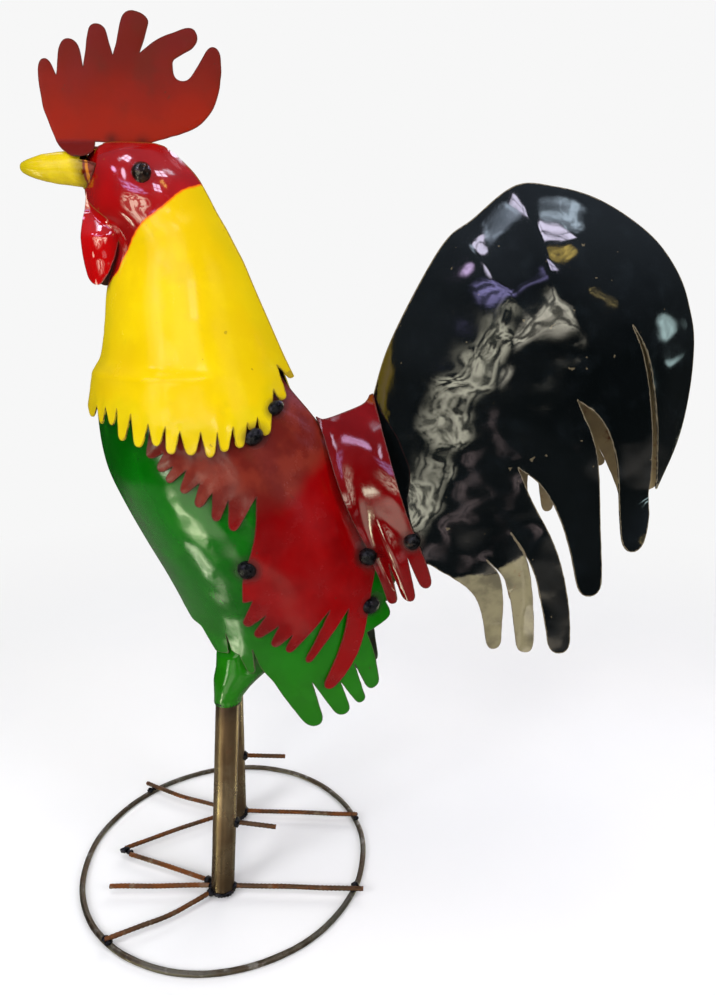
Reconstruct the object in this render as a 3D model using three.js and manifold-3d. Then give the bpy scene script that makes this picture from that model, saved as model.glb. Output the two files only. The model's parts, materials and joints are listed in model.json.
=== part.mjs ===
// Garden rooster of thin painted sheet on a ring of rod, in millimetres.
// +Z is up, the bird looks along -X, and its own left side is -Y.
import * as THREE from "three";
import { mergeVertices } from "three/addons/utils/BufferGeometryUtils.js";
import Module from "manifold-3d";

const wasm = await Module();
wasm.setup();

// Stock the bird is made from
const SHEET = 1.2; // thickness of the drum steel
const GAP = 0.3; // clearance between pieces that touch
const LEG_TUBE = 25.4; // outside diameter of the leg tube
const LEG_WALL = 1.5;
const RING_ROD = 6.2; // diameter of the hoop's rod
const TOE_ROD = 5.6; // diameter of the ribbed rod
const COMB_PLATE = 1.6; // thickness of the comb

// Main sizes
const RING_LONG = 163.5; // half length of the hoop's centre line, along the bird
const RING_WIDE = 154; // half width of the same, as it was bent slightly oval
const RING_SHIFT = -5; // the hoop sits a little to the left of the bird's middle plane
const FLOOR_Z = -6; // underside of the hoop
const LEG_FOOT_Z = FLOOR_Z + 4; // underside of the leg tubes
const LEG_TOP_Z = 250;
const LEFT_FOOT = [5, -60];
const RIGHT_FOOT = [0, 58];
const LEFT_HIP = [19, -28];
const RIGHT_HIP = [11, 28];
const HEAD_TOP = 768; // where the comb stands on the head
const TAIL_DEPTH = 52; // half width of the tail over its broad middle
const TAIL_ROLL = 115; // how far in from the seam the tail keeps swelling
const SADDLE_DEPTH = 36; // half width across the saddle strap at its front edge
const SADDLE_WIDEN = 18; // how much deeper it is at its back edge, over the tail

// Facet size of the formed sheets, and of the narrower head and neck
const GRID = 34;
const NECK_GRID = 22;

// A path through corners [x, z], rounded where a third number gives the length that the curve takes
// off each side; ROUND takes half of each side. {tip, w} is the round end of a finger of width w.
const ROUND = 1e3;
function outline(list, steps = 1) {
  const flat = [];
  list.forEach((e, i) => {
    if (Array.isArray(e)) {
      flat.push(e);
      return;
    }
    const at = (k) => {
      const n = list[(k + list.length) % list.length];
      return Array.isArray(n) ? n : n.tip;
    };
    const a = at(i - 1);
    const b = at(i + 1);
    const along = new THREE.Vector2(e.tip[0] - (a[0] + b[0]) / 2, e.tip[1] - (a[1] + b[1]) / 2);
    along.normalize();
    const cross = new THREE.Vector2(-along.y, along.x);
    const first = cross.x * (a[0] - e.tip[0]) + cross.y * (a[1] - e.tip[1]) > 0 ? 1 : -1;
    for (const s of [first, -first])
      flat.push([
        e.tip[0] + (cross.x * s * e.w) / 2,
        e.tip[1] + (cross.y * s * e.w) / 2,
        e.w * 0.48,
      ]);
  });
  const path = [];
  flat.forEach(([x, z, cut = 0], i) => {
    const p = flat[(i + flat.length - 1) % flat.length];
    const n = flat[(i + 1) % flat.length];
    const here = new THREE.Vector2(x, z);
    if (cut === 0) {
      path.push(here);
      return;
    }
    const before = new THREE.Vector2(p[0], p[1]);
    const after = new THREE.Vector2(n[0], n[1]);
    const pull = (to) => {
      const side = to.clone().sub(here);
      const most = side.length() * 0.5;
      return here.clone().add(side.setLength(Math.min(cut, most)));
    };
    const curve = new THREE.QuadraticBezierCurve(pull(before), here, pull(after));
    path.push(...curve.getPoints(steps));
  });
  return path.filter((v, i) => v.distanceTo(path[(i + 1) % path.length]) > 0.05);
}

// A mesh of points and faces made here, as a body that can be joined and cut
function bodyOf(geometry) {
  const bare = geometry.clone();
  bare.deleteAttribute("normal");
  bare.deleteAttribute("uv");
  const g = mergeVertices(bare, 1e-4);
  return new wasm.Manifold(
    new wasm.Mesh({
      numProp: 3,
      vertProperties: new Float32Array(g.attributes.position.array),
      triVerts: new Uint32Array(g.index.array),
    }),
  );
}

function geometryOf(body) {
  const pieces = body.decompose().sort((a, b) => b.volume() - a.volume());
  const m = pieces[0].getMesh();
  const at = new Float32Array(m.numVert * 3);
  for (let i = 0; i < m.numVert; i++)
    for (let k = 0; k < 3; k++) at[3 * i + k] = m.vertProperties[m.numProp * i + k];
  const g = new THREE.BufferGeometry();
  g.setAttribute("position", new THREE.BufferAttribute(at, 3));
  g.setIndex(Array.from(m.triVerts));
  return g;
}

// The same piece on the other side of the middle plane
function mirrored(geometry) {
  const g = geometry.clone();
  g.scale(1, -1, 1);
  const idx = Array.from(g.index.array);
  for (let i = 0; i < idx.length; i += 3) [idx[i + 1], idx[i + 2]] = [idx[i + 2], idx[i + 1]];
  g.setIndex(idx);
  return g;
}

// An outline in the side view, carried from the middle plane out to the left
function prism(list, from = 0, to = 260, steps = 1) {
  const g = new THREE.ExtrudeGeometry(new THREE.Shape(outline(list, steps)), {
    depth: to - from,
    bevelEnabled: false,
    curveSegments: 1,
  });
  g.rotateX(Math.PI / 2);
  g.translate(0, -from, 0);
  return bodyOf(g);
}

// The space between two depths, each a function of the place in the side view
function slab(near, far, list, grid = GRID) {
  const xs = list.map((e) => (Array.isArray(e) ? e[0] : e.tip[0]));
  const zs = list.map((e) => (Array.isArray(e) ? e[1] : e.tip[1]));
  const i0 = Math.floor(Math.min(...xs) / grid) - 1;
  const i1 = Math.ceil(Math.max(...xs) / grid) + 1;
  const j0 = Math.floor(Math.min(...zs) / grid) - 1;
  const j1 = Math.ceil(Math.max(...zs) / grid) + 1;
  const nx = i1 - i0 + 1;
  const nz = j1 - j0 + 1;
  const at = [];
  for (const depth of [near, far])
    for (let j = 0; j < nz; j++)
      for (let i = 0; i < nx; i++) {
        const x = (i0 + i) * grid;
        const z = (j0 + j) * grid;
        at.push(x, -depth(x, z), z);
      }
  const idx = [];
  const n = (side, i, j) => side * nx * nz + j * nx + i;
  for (let j = 0; j < nz - 1; j++)
    for (let i = 0; i < nx - 1; i++) {
      idx.push(n(0, i, j), n(0, i + 1, j + 1), n(0, i + 1, j));
      idx.push(n(0, i, j), n(0, i, j + 1), n(0, i + 1, j + 1));
      idx.push(n(1, i, j), n(1, i + 1, j), n(1, i + 1, j + 1));
      idx.push(n(1, i, j), n(1, i + 1, j + 1), n(1, i, j + 1));
    }
  const wall = (i, j, k, l) => {
    idx.push(n(0, i, j), n(0, k, l), n(1, k, l));
    idx.push(n(0, i, j), n(1, k, l), n(1, i, j));
  };
  for (let i = 0; i < nx - 1; i++) {
    wall(i, 0, i + 1, 0);
    wall(i + 1, nz - 1, i, nz - 1);
  }
  for (let j = 0; j < nz - 1; j++) {
    wall(nx - 1, j, nx - 1, j + 1);
    wall(0, j + 1, 0, j);
  }
  const g = new THREE.BufferGeometry();
  g.setAttribute("position", new THREE.BufferAttribute(new Float32Array(at), 3));
  g.setIndex(idx);
  return bodyOf(g);
}

// How much deeper a slope makes the sheet, measured across the side view
function stretch(depth, x, z) {
  const e = 2;
  const dx = (depth(x + e, z) - depth(x - e, z)) / (2 * e);
  const dz = (depth(x, z + e) - depth(x, z - e)) / (2 * e);
  return Math.min(Math.hypot(1, dx, dz), 3);
}
const over = (depth, by) => (x, z) => depth(x, z) + by * stretch(depth, x, z);
const higher = (a, b) => (x, z) => {
  const p = a(x, z);
  const q = b(x, z);
  return (p + q + Math.hypot(p - q, 6)) / 2;
};

// A half of formed sheet: inner face at the given depth, cut to the outline
function half(depth, list, grid = GRID) {
  return slab(depth, over(depth, SHEET), list, grid).intersect(prism(list, GAP / 2));
}

// Forms that are seen as level sections: rows of height, front edge, back edge and half width
function sections(rows) {
  const read = (z, k) => {
    const last = rows.length - 1;
    let i = 0;
    while (i < last - 1 && rows[i + 1][0] > z) i++;
    const a = rows[i];
    const b = rows[i + 1];
    const f = (z - a[0]) / (b[0] - a[0]);
    const slope = (k1) => {
      const p = rows[Math.max(k1 - 1, 0)];
      const q = rows[Math.min(k1 + 1, last)];
      return ((q[k] - p[k]) / (q[0] - p[0])) * (b[0] - a[0]);
    };
    if (f < 0 || f > 1) return a[k] + (b[k] - a[k]) * f;
    const s0 = slope(i);
    const s1 = slope(i + 1);
    const up = f * f * (3 - 2 * f);
    return a[k] * (1 - up) + b[k] * up + s0 * f * (1 - f) ** 2 - s1 * f * f * (1 - f);
  };
  return (x, z) => {
    const front = read(z, 1);
    const back = read(z, 2);
    const u = Math.abs((2 * x - front - back) / Math.max(back - front, 20));
    const width = read(z, 3);
    return width > 0 ? width * (1 - u ** 2.2) : width * (1 + u ** 2.2);
  };
}

const neckForm = sections([
  [769, -66, -22, 1],
  [762, -80, -12, 12],
  [752, -88, 0, 20],
  [740, -90, 11, 26],
  [724, -90, 20, 30],
  [710, -88, 27, 31],
  [696, -74, 35, 33],
  [682, -67, 42, 35],
  [668, -70, 49, 38],
  [643, -79, 59, 45],
  [614, -84, 71, 54],
  [578, -92, 86, 65],
  [539, -107, 104, 77],
  [503, -114, 120, 87],
]);
const bodyRows = sections([
  [660, -70, 30, 30],
  [630, -80, 45, 35],
  [600, -92, 60, 40],
  [580, -96, 70, 62],
  [554, -99, 84, 68],
  [524, -100, 108, 73],
  [494, -99, 130, 76],
  [466, -94, 146, 78],
  [430, -80, 166, 78],
  [393, -63, 182, 76],
  [350, -42, 196, 70],
  [310, -26, 206, 64],
  [270, -20, 210, 56],
  [230, -16, 208, 47],
  [190, -14, 204, 38],
]);
// Above its collar the body falls away inside the neck
const COLLAR_Z = 566;
const bodyForm = (x, z) => bodyRows(x, z) - 1.5 * Math.max(z - COLLAR_Z, 0);

// The tail's seam along its top; the sheet swells away from it and then runs level
const tailSeam = [
  [160, 490],
  [172, 541],
  [190, 598],
  [234, 680],
  [263, 705],
  [300, 733],
  [336, 732],
  [372, 723],
  [407, 705],
  [436, 683],
  [459, 654],
  [472, 625],
  [480, 595],
  [482, 548],
  [477, 499],
  [462, 448],
].map(([x, z]) => new THREE.Vector2(x, z));
function tailForm(x, z) {
  const p = new THREE.Vector2(x, z);
  let near = Infinity;
  let side = 1;
  for (let i = 0; i + 1 < tailSeam.length; i++) {
    const a = tailSeam[i];
    const e = tailSeam[i + 1].clone().sub(a);
    const q = p.clone().sub(a);
    const t = THREE.MathUtils.clamp(q.dot(e) / e.dot(e), 0, 1);
    const d = q.clone().addScaledVector(e, -t).length();
    if (d < near - 1e-9) {
      near = d;
      side = e.cross(q) <= 0 ? 1 : -1;
    }
  }
  const s = Math.min((side * near) / TAIL_ROLL, 1);
  return TAIL_DEPTH * (1 - (1 - s) ** 2);
}

const bodyOut = over(bodyForm, SHEET);
const wingIn = over(bodyOut, 2 * GAP);
const wingOut = over(wingIn, SHEET);
const neckIn = higher(neckForm, over(wingOut, 2 * GAP));
const neckOut = over(neckIn, SHEET);
const tailOut = over(tailForm, SHEET);

// The saddle is a strap over the joint of body and tail. It swells away from its own top edge, gets
// deeper towards the tail, and clears the wing in front and the tail's root behind.
const SADDLE_TOP = [
  [117, 516],
  [171, 536],
];
const SADDLE_FRONT = [167, 404];
const TAIL_ROOT = [
  [176, 484],
  [212, 391],
];
const gentle = (f) => {
  const k = THREE.MathUtils.clamp(f, 0, 1);
  return k * k * (3 - 2 * k);
};
// Distance of a place from the line through a and b, positive to its right
const beside = ([ax, az], [bx, bz], x, z) =>
  ((x - ax) * (bz - az) - (z - az) * (bx - ax)) / Math.hypot(bx - ax, bz - az);
function strap(x, z) {
  const down = Math.min(beside(...SADDLE_TOP, x, z) / 95, 1);
  const across = gentle(-beside(SADDLE_TOP[0], SADDLE_FRONT, x, z) / 50);
  return (SADDLE_DEPTH + SADDLE_WIDEN * across) * (1 - (1 - down) ** 2);
}
const overWing = over(wingOut, 2 * GAP);
const overTail = over(tailOut, 2 * GAP);
function underSaddle(x, z) {
  const onTail = gentle((1.5 * GRID - beside(...TAIL_ROOT, x, z)) / GRID);
  const wing = overWing(x, z);
  return wing + (Math.max(overTail(x, z), wing) - wing) * onTail;
}
const saddleIn = higher(strap, underSaddle);
const saddleOut = over(saddleIn, SHEET);

const neckLine = [
  [-96, 752],
  [-86, 766, 8],
  [-62, 768],
  [-24, 767],
  [-4, 762, ROUND],
  [16, 744, ROUND],
  [36, 712, ROUND],
  [66, 645, ROUND],
  [88, 592],
  { tip: [93, 561], w: 5 },
  [79, 574],
  { tip: [86, 543], w: 6 },
  [77, 553],
  { tip: [73, 515], w: 7 },
  [65, 531],
  { tip: [61, 521], w: 5 },
  [57, 527],
  { tip: [52, 507], w: 7 },
  [46, 525],
  { tip: [39, 505], w: 7 },
  [33, 521],
  { tip: [28, 501], w: 7 },
  [19, 522],
  { tip: [11, 503], w: 8 },
  [2, 523],
  { tip: [-7, 504], w: 8 },
  [-11, 527],
  { tip: [-20, 510], w: 7 },
  [-27, 529],
  { tip: [-38, 508], w: 8 },
  [-44, 536],
  { tip: [-55, 512], w: 7 },
  [-60, 539],
  { tip: [-67, 524], w: 6 },
  [-74, 539],
  { tip: [-82, 523], w: 6 },
  [-87, 538],
  { tip: [-98, 526], w: 7 },
  [-112, 537],
  [-101, 562, 6],
  [-90, 590, 8],
  [-84.5, 606, 4],
  [-90, 616, 2],
  [-86, 634, 6],
  [-78, 660, 9],
  [-73, 683, 8],
  [-67, 696, 5],
  [-66, 703, 3],
  [-84, 716, 5],
  [-95, 728, 3],
];
const bodyLine = [
  [-104, 562],
  [-106, 520, ROUND],
  [-105, 490, ROUND],
  [-98, 450, ROUND],
  [-72, 396, ROUND],
  [-40, 336, ROUND],
  [-20, 306, 4],
  [-8, 305, 4],
  [9, 279, 3],
  [24, 283, 2],
  [23, 308],
  [28, 288],
  [36, 285],
  { tip: [48, 264], w: 8 },
  [51, 296],
  [58, 273],
  [70, 258, 6],
  [88, 222, ROUND],
  { tip: [113, 197], w: 18 },
  [110, 257],
  { tip: [143, 209], w: 15 },
  [139, 254],
  { tip: [161, 221], w: 10 },
  [153, 274],
  { tip: [174, 236], w: 13 },
  [174, 280, 8],
  [166, 306],
  { tip: [190, 317], w: 6 },
  [185, 332],
  [202, 356],
  [187, 396, ROUND],
  [171, 434, ROUND],
  [151, 470, ROUND],
  [120, 514, ROUND],
  [84, 560],
];
const wingLine = [
  [82, 562],
  [102, 541],
  [124, 519],
  [138, 494],
  [154, 462],
  [168, 430],
  [178, 396],
  [176, 379, 5],
  [170, 350, ROUND],
  [162, 298, ROUND],
  [148, 270, ROUND],
  { tip: [125, 249], w: 11 },
  [142, 306, ROUND],
  [147, 339],
  [124, 306, ROUND],
  { tip: [106, 285], w: 7 },
  [129, 342],
  { tip: [87, 299], w: 8 },
  [93, 319],
  { tip: [73, 305], w: 8 },
  [80, 329],
  { tip: [56, 314], w: 8 },
  [68, 341],
  { tip: [46, 326], w: 8 },
  [56, 357],
  [46, 354, 3],
  [48, 380, 8],
  [63, 424, ROUND],
  [64, 461],
  { tip: [42, 431], w: 8 },
  [40, 460],
  { tip: [27, 440], w: 8 },
  [26, 467],
  { tip: [11, 453], w: 8 },
  [15, 476],
  { tip: [-2, 466], w: 7 },
  [3, 487],
  { tip: [-16, 475], w: 7 },
  [-9, 490],
  { tip: [-24, 485], w: 7 },
  [-17, 502],
  { tip: [-33, 496], w: 7 },
  [-22, 545],
];
const saddleLine = [
  [115, 522],
  [123, 505, ROUND],
  [136, 464, ROUND],
  [151, 426, ROUND],
  [165, 399],
  [170, 385],
  [181, 359, ROUND],
  { tip: [193, 338], w: 11 },
  [188, 385],
  { tip: [209, 348], w: 12 },
  [205, 394],
  { tip: [225, 363], w: 12 },
  [225, 385, 6],
  [206, 430, ROUND],
  [189, 482, ROUND],
  [172, 545],
];
const tailLine = [
  [158, 528],
  [168, 548],
  [186, 601, ROUND],
  [229, 686, ROUND],
  [260, 711, ROUND],
  [298, 738, ROUND],
  [338, 737, ROUND],
  [375, 728, ROUND],
  [411, 709, ROUND],
  [441, 686, ROUND],
  [464, 656, ROUND],
  [477, 626, ROUND],
  [485, 596, ROUND],
  [487, 548, ROUND],
  [482, 498, ROUND],
  { tip: [464, 447], w: 6 },
  [432, 552, ROUND],
  [421, 588, ROUND],
  [402, 612],
  [417, 586, ROUND],
  [427, 552, ROUND],
  [455, 440, ROUND],
  { tip: [426, 395], w: 21 },
  [413, 432, ROUND],
  [404, 484, ROUND],
  [382, 530, ROUND],
  [357, 546],
  [380, 502, ROUND],
  [391, 438, ROUND],
  { tip: [386, 353], w: 23 },
  [359, 414, ROUND],
  [334, 464, ROUND],
  [307, 483],
  [322, 450, ROUND],
  [350, 404, ROUND],
  [367, 345, ROUND],
  { tip: [361, 290], w: 21 },
  [343, 328, ROUND],
  [330, 380, ROUND],
  [304, 419],
  [322, 395, ROUND],
  [333, 342, ROUND],
  { tip: [328, 287], w: 16 },
  [313, 328, ROUND],
  [304, 370, ROUND],
  [282, 391],
  [297, 376, ROUND],
  [304, 340, ROUND],
  { tip: [297, 288], w: 15 },
  [284, 325, ROUND],
  [270, 360, ROUND],
  [227, 386],
  [212, 391],
  [194, 440],
  [176, 484],
];
const tailRightLine = [
  ...tailLine.slice(0, 15),
  [479, 470, 8],
  [452, 440, 8],
  [440, 420, 8],
  [428, 452, ROUND],
  [420, 470, 5],
  [413, 484],
  { tip: [418, 466], w: 9 },
  [390, 475],
  [372, 452, ROUND],
  { tip: [368, 408], w: 12 },
  [350, 470],
  [340, 440, ROUND],
  [360, 380, ROUND],
  { tip: [376, 296], w: 15 },
  [360, 336, ROUND],
  [348, 372],
  { tip: [340, 297], w: 13 },
  [322, 340, ROUND],
  [306, 352],
  { tip: [305, 290], w: 12 },
  [286, 330, ROUND],
  [264, 358, ROUND],
  [227, 380],
  [212, 391],
  [194, 440],
  [176, 484],
];

// Body of a round rod through the given points
function rod(points, radius, sides = 8, closed = false) {
  const v = points.map((p) => new THREE.Vector3(...p));
  const at = [];
  const idx = [];
  v.forEach((p, i) => {
    const a = closed ? v[(i + v.length - 1) % v.length] : v[Math.max(i - 1, 0)];
    const b = closed ? v[(i + 1) % v.length] : v[Math.min(i + 1, v.length - 1)];
    const t = b.clone().sub(a).normalize();
    const up = Math.abs(t.z) > 0.9 ? new THREE.Vector3(1, 0, 0) : new THREE.Vector3(0, 0, 1);
    const s = new THREE.Vector3().crossVectors(t, up).normalize();
    const w = new THREE.Vector3().crossVectors(s, t);
    for (let k = 0; k < sides; k++) {
      const q = Math.PI / 2 + ((2 * k + 1) * Math.PI) / sides; // a flat on top and below
      const d = s.clone().multiplyScalar(Math.cos(q)).addScaledVector(w, Math.sin(q));
      at.push(...p.clone().addScaledVector(d, radius / Math.cos(Math.PI / sides)).toArray());
    }
  });
  const rings = v.length;
  for (let i = 0; i < (closed ? rings : rings - 1); i++)
    for (let k = 0; k < sides; k++) {
      const a = i * sides + k;
      const b = i * sides + ((k + 1) % sides);
      const c = ((i + 1) % rings) * sides + ((k + 1) % sides);
      const d = ((i + 1) % rings) * sides + k;
      idx.push(a, c, b, a, d, c);
    }
  if (!closed)
    for (let k = 1; k < sides - 1; k++) {
      idx.push(0, k, k + 1);
      const o = (rings - 1) * sides;
      idx.push(o, o + k + 1, o + k);
    }
  const g = new THREE.BufferGeometry();
  g.setAttribute("position", new THREE.BufferAttribute(new Float32Array(at), 3));
  g.setIndex(idx);
  return g;
}

// A turned piece: profile of [radius, height along the axis], set on a leaning axis
function turned(profile, foot, top, sides = 16) {
  const g = new THREE.LatheGeometry(
    profile.map(([r, h]) => new THREE.Vector2(r, h)),
    sides,
  );
  const a = new THREE.Vector3(...foot);
  const axis = new THREE.Vector3(...top).sub(a).normalize();
  g.applyQuaternion(new THREE.Quaternion().setFromUnitVectors(new THREE.Vector3(0, 1, 0), axis));
  g.translate(a.x, a.y, a.z);
  return g;
}

const group = new THREE.Group();
function add(name, geometry, color, roughness, metalness) {
  const g = geometry.index ? geometry.toNonIndexed() : geometry.clone();
  g.computeVertexNormals();
  const material = new THREE.MeshStandardMaterial({ color, roughness, metalness });
  const mesh = new THREE.Mesh(g, material);
  mesh.name = name;
  group.add(mesh);
}

// Base: hoop, toes and spurs. A place over the hoop has a bearing in degrees, and how far it lies
// outside the hoop's centre line.
function onRing(bearing, past = 0) {
  const q = THREE.MathUtils.degToRad(bearing);
  const y = RING_SHIFT + (RING_WIDE + past) * Math.sin(q);
  return [(RING_LONG + past) * Math.cos(q), y];
}
function hoop(corners = 32) {
  const line = [];
  for (let i = 0; i < corners; i++)
    line.push([...onRing((i * 360) / corners), FLOOR_Z + RING_ROD / 2]);
  return rod(line, RING_ROD / 2, 6, true);
}
add("base_ring", hoop(), 0x6f6455, 0.5, 0.8);

const TOE_Z = FLOOR_Z + RING_ROD + GAP + TOE_ROD / 2; // toes lie on top of the hoop
const axisAt = (foot, hip, z) => {
  const f = (z - LEG_FOOT_Z) / (LEG_TOP_Z - LEG_FOOT_Z);
  return [foot[0] + (hip[0] - foot[0]) * f, foot[1] + (hip[1] - foot[1]) * f];
};
function toe(name, foot, hip, clear, lift, ...ends) {
  const [cx, cy] = axisAt(foot, hip, TOE_Z + lift);
  const away = new THREE.Vector2(ends[0][0] - cx, ends[0][1] - cy).setLength(clear);
  const start = [cx + away.x, cy + away.y, TOE_Z + lift];
  const points = [start, ...ends.map(([x, y]) => [x, y, TOE_Z])];
  add(name, rod(points, TOE_ROD / 2), 0x7a4f30, 0.7, 0.5);
}
const AT_TUBE = LEG_TUBE / 2 + 2 * GAP;
toe("left_outer_toe", LEFT_FOOT, LEFT_HIP, AT_TUBE + 3, 0, [-46, -100], onRing(-128.5, 2));
toe("left_middle_toe", LEFT_FOOT, LEFT_HIP, AT_TUBE, 0, [-121, -61]);
toe("left_inner_toe", LEFT_FOOT, LEFT_HIP, AT_TUBE + 8, 0, [-67, -31], [-113, -15]);
toe("left_back_toe", LEFT_FOOT, LEFT_HIP, AT_TUBE, 0, onRing(-21, 11));
toe("right_outer_toe", RIGHT_FOOT, RIGHT_HIP, AT_TUBE, 0, [-79, 83], onRing(137.2, 13));
toe("right_inner_toe", RIGHT_FOOT, RIGHT_HIP, AT_TUBE, 0, [-76, 20], [-122, -6]);
toe("right_back_toe", RIGHT_FOOT, RIGHT_HIP, AT_TUBE, 0, onRing(20.5, 3));

function spur(name, foot, hip, z, tip) {
  const [cx, cy] = axisAt(foot, hip, z);
  const start = [cx + AT_TUBE, cy, z];
  add(name, rod([start, tip], TOE_ROD / 2), 0x6e5030, 0.7, 0.5);
}
spur("left_spur", LEFT_FOOT, LEFT_HIP, 80, [66, -49, 73]);
spur("right_spur", RIGHT_FOOT, RIGHT_HIP, 94, [67, 46, 93]);

// Legs and the rolled sheet round their tops
const legLength = (foot, hip) =>
  Math.hypot(hip[0] - foot[0], hip[1] - foot[1], LEG_TOP_Z - LEG_FOOT_Z);
function leg(name, foot, hip) {
  const long = legLength(foot, hip);
  const out = LEG_TUBE / 2;
  const bore = out - LEG_WALL;
  const wall = [
    [bore, 0],
    [out, 0],
    [out, long],
    [bore, long],
    [bore, 0],
  ];
  const from = [...foot, LEG_FOOT_Z];
  add(name, turned(wall, from, [...hip, LEG_TOP_Z], 16), 0x7d6a4b, 0.4, 0.85);
}
leg("left_leg", LEFT_FOOT, LEFT_HIP);
leg("right_leg", RIGHT_FOOT, RIGHT_HIP);

// Thigh: a sheet rolled close round the tube and flared back above it. Rows give the height along
// the leg, the half length and half width inside, and how far the middle moves back.
const TIGHT = LEG_TUBE / 2 + GAP;
const thighRows = (corners) => [
  [226, TIGHT / Math.cos(Math.PI / corners), TIGHT / Math.cos(Math.PI / corners), 0],
  [236, 15.5, 15.2, 2],
  [252, 22.5, 18, 8],
  [266, 28.5, 20, 16],
  [304, 35, 21, 23],
];
function thigh(foot, hip, corners = 12) {
  const rows = thighRows(corners);
  const up = new THREE.Vector3(hip[0] - foot[0], hip[1] - foot[1], LEG_TOP_Z - LEG_FOOT_Z);
  up.normalize();
  const at = [];
  for (const wall of [0, SHEET])
    for (const [h, long, wide, back] of rows)
      for (let k = 0; k < corners; k++) {
        const q = (k * 2 * Math.PI) / corners;
        const x = foot[0] + up.x * h + back + (long + wall) * Math.cos(q);
        const y = foot[1] + up.y * h + (wide + wall) * Math.sin(q);
        at.push(x, y, LEG_FOOT_Z + up.z * h);
      }
  const idx = [];
  const n = (wall, i, k) => (wall * rows.length + i) * corners + (k % corners);
  const patch = (a, b, c, d) => idx.push(a, b, c, a, c, d);
  const last = rows.length - 1;
  for (let k = 0; k < corners; k++) {
    for (let i = 0; i < last; i++) {
      patch(n(1, i, k), n(1, i, k + 1), n(1, i + 1, k + 1), n(1, i + 1, k));
      patch(n(0, i, k + 1), n(0, i, k), n(0, i + 1, k), n(0, i + 1, k + 1));
    }
    patch(n(0, 0, k), n(0, 0, k + 1), n(1, 0, k + 1), n(1, 0, k));
    patch(n(1, last, k), n(1, last, k + 1), n(0, last, k + 1), n(0, last, k));
  }
  const g = new THREE.BufferGeometry();
  g.setAttribute("position", new THREE.BufferAttribute(new Float32Array(at), 3));
  g.setIndex(idx);
  return bodyOf(g);
}
const pad = over(bodyForm, -2 * GAP);
const outside = slab(pad, (x, z) => pad(x, z) + 90, bodyLine).intersect(prism(bodyLine, 0));
add("left_thigh", geometryOf(thigh(LEFT_FOOT, LEFT_HIP).subtract(outside)), 0x1f7a1c, 0.3, 0.2);
const otherWay = ([x, y]) => [x, -y];
const rightThigh = thigh(otherWay(RIGHT_FOOT), otherWay(RIGHT_HIP)).subtract(outside);
add("right_thigh", mirrored(geometryOf(rightThigh)), 0x1f7a1c, 0.3, 0.2);

// Formed sheet halves
function pair(name, left, color, roughness, metalness) {
  add(name + "_left", left, color, roughness, metalness);
  add(name + "_right", mirrored(left), color, roughness, metalness);
}
pair("body", geometryOf(half(bodyForm, bodyLine)), 0x0c7d12, 0.3, 0.2);
pair("wing", geometryOf(half(wingIn, wingLine)), 0x8c0c0e, 0.25, 0.3);
pair("neck", geometryOf(half(neckIn, neckLine, NECK_GRID)), 0xf0d800, 0.25, 0.1);
pair("saddle", geometryOf(half(saddleIn, saddleLine)), 0x75050c, 0.2, 0.4);
add("tail_left", geometryOf(half(tailForm, tailLine)), 0x0a0d0e, 0.15, 0.6);
const farTail = geometryOf(half(tailForm, tailRightLine));
add("tail_right", mirrored(farTail), 0x0a0d0e, 0.15, 0.6);

// Head: comb, beak, wattles and eyes
const headCover = over(neckOut, 1.5 * GAP);
const headSpace = slab(() => -1, headCover, neckLine, NECK_GRID);
const head = headSpace.intersect(prism(neckLine, -1));
const fullHead = head.add(bodyOf(mirrored(geometryOf(head))));

const combLine = [
  [-112, HEAD_TOP + 1.5],
  [-121, 797, 8],
  [-122, 826, 6],
  { tip: [-115, 835], w: 7 },
  [-106, 822],
  { tip: [-92, 850], w: 16 },
  [-82, 828],
  [-77, 846, 6],
  { tip: [-67, 861], w: 13 },
  [-58, 850, 4],
  [-55, 837],
  [-50, 850, 8],
  { tip: [-32, 870], w: 22 },
  [-24, 856, 8],
  [-32, 839],
  [-16, 850, 8],
  { tip: [18, 854], w: 12 },
  [14, 842, 4],
  [-4, 833, 3],
  [-4, 819, 8],
  [8, 816, 8],
  [22, 834, 6],
  { tip: [33, 843], w: 9 },
  [39, 826, ROUND],
  [33, 799, ROUND],
  [16, 780, ROUND],
  [-14, 772, ROUND],
  [-30, HEAD_TOP + GAP],
  [-60, HEAD_TOP + GAP],
  [-78, HEAD_TOP + 1.5],
];
const plate = prism(combLine, -COMB_PLATE / 2, COMB_PLATE / 2, 2);
const lobeLine = [
  [-111, HEAD_TOP + 2],
  [-106, HEAD_TOP - 8, 5],
  [-92, HEAD_TOP - 22, 9],
  [-76, HEAD_TOP - 14, 8],
  [-77, HEAD_TOP + 2],
];
const lobeFlat = new THREE.ExtrudeGeometry(new THREE.Shape(outline(lobeLine)), {
  depth: COMB_PLATE,
  bevelEnabled: false,
  curveSegments: 1,
});
lobeFlat.rotateX(Math.PI / 2);
lobeFlat.translate(0, COMB_PLATE / 2, -HEAD_TOP - 1.5);
lobeFlat.rotateX(THREE.MathUtils.degToRad(-48));
lobeFlat.translate(0, 0, HEAD_TOP + 1.5);
add("comb", geometryOf(plate.add(bodyOf(lobeFlat)).subtract(fullHead)), 0xa01a10, 0.3, 0.2);

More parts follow.
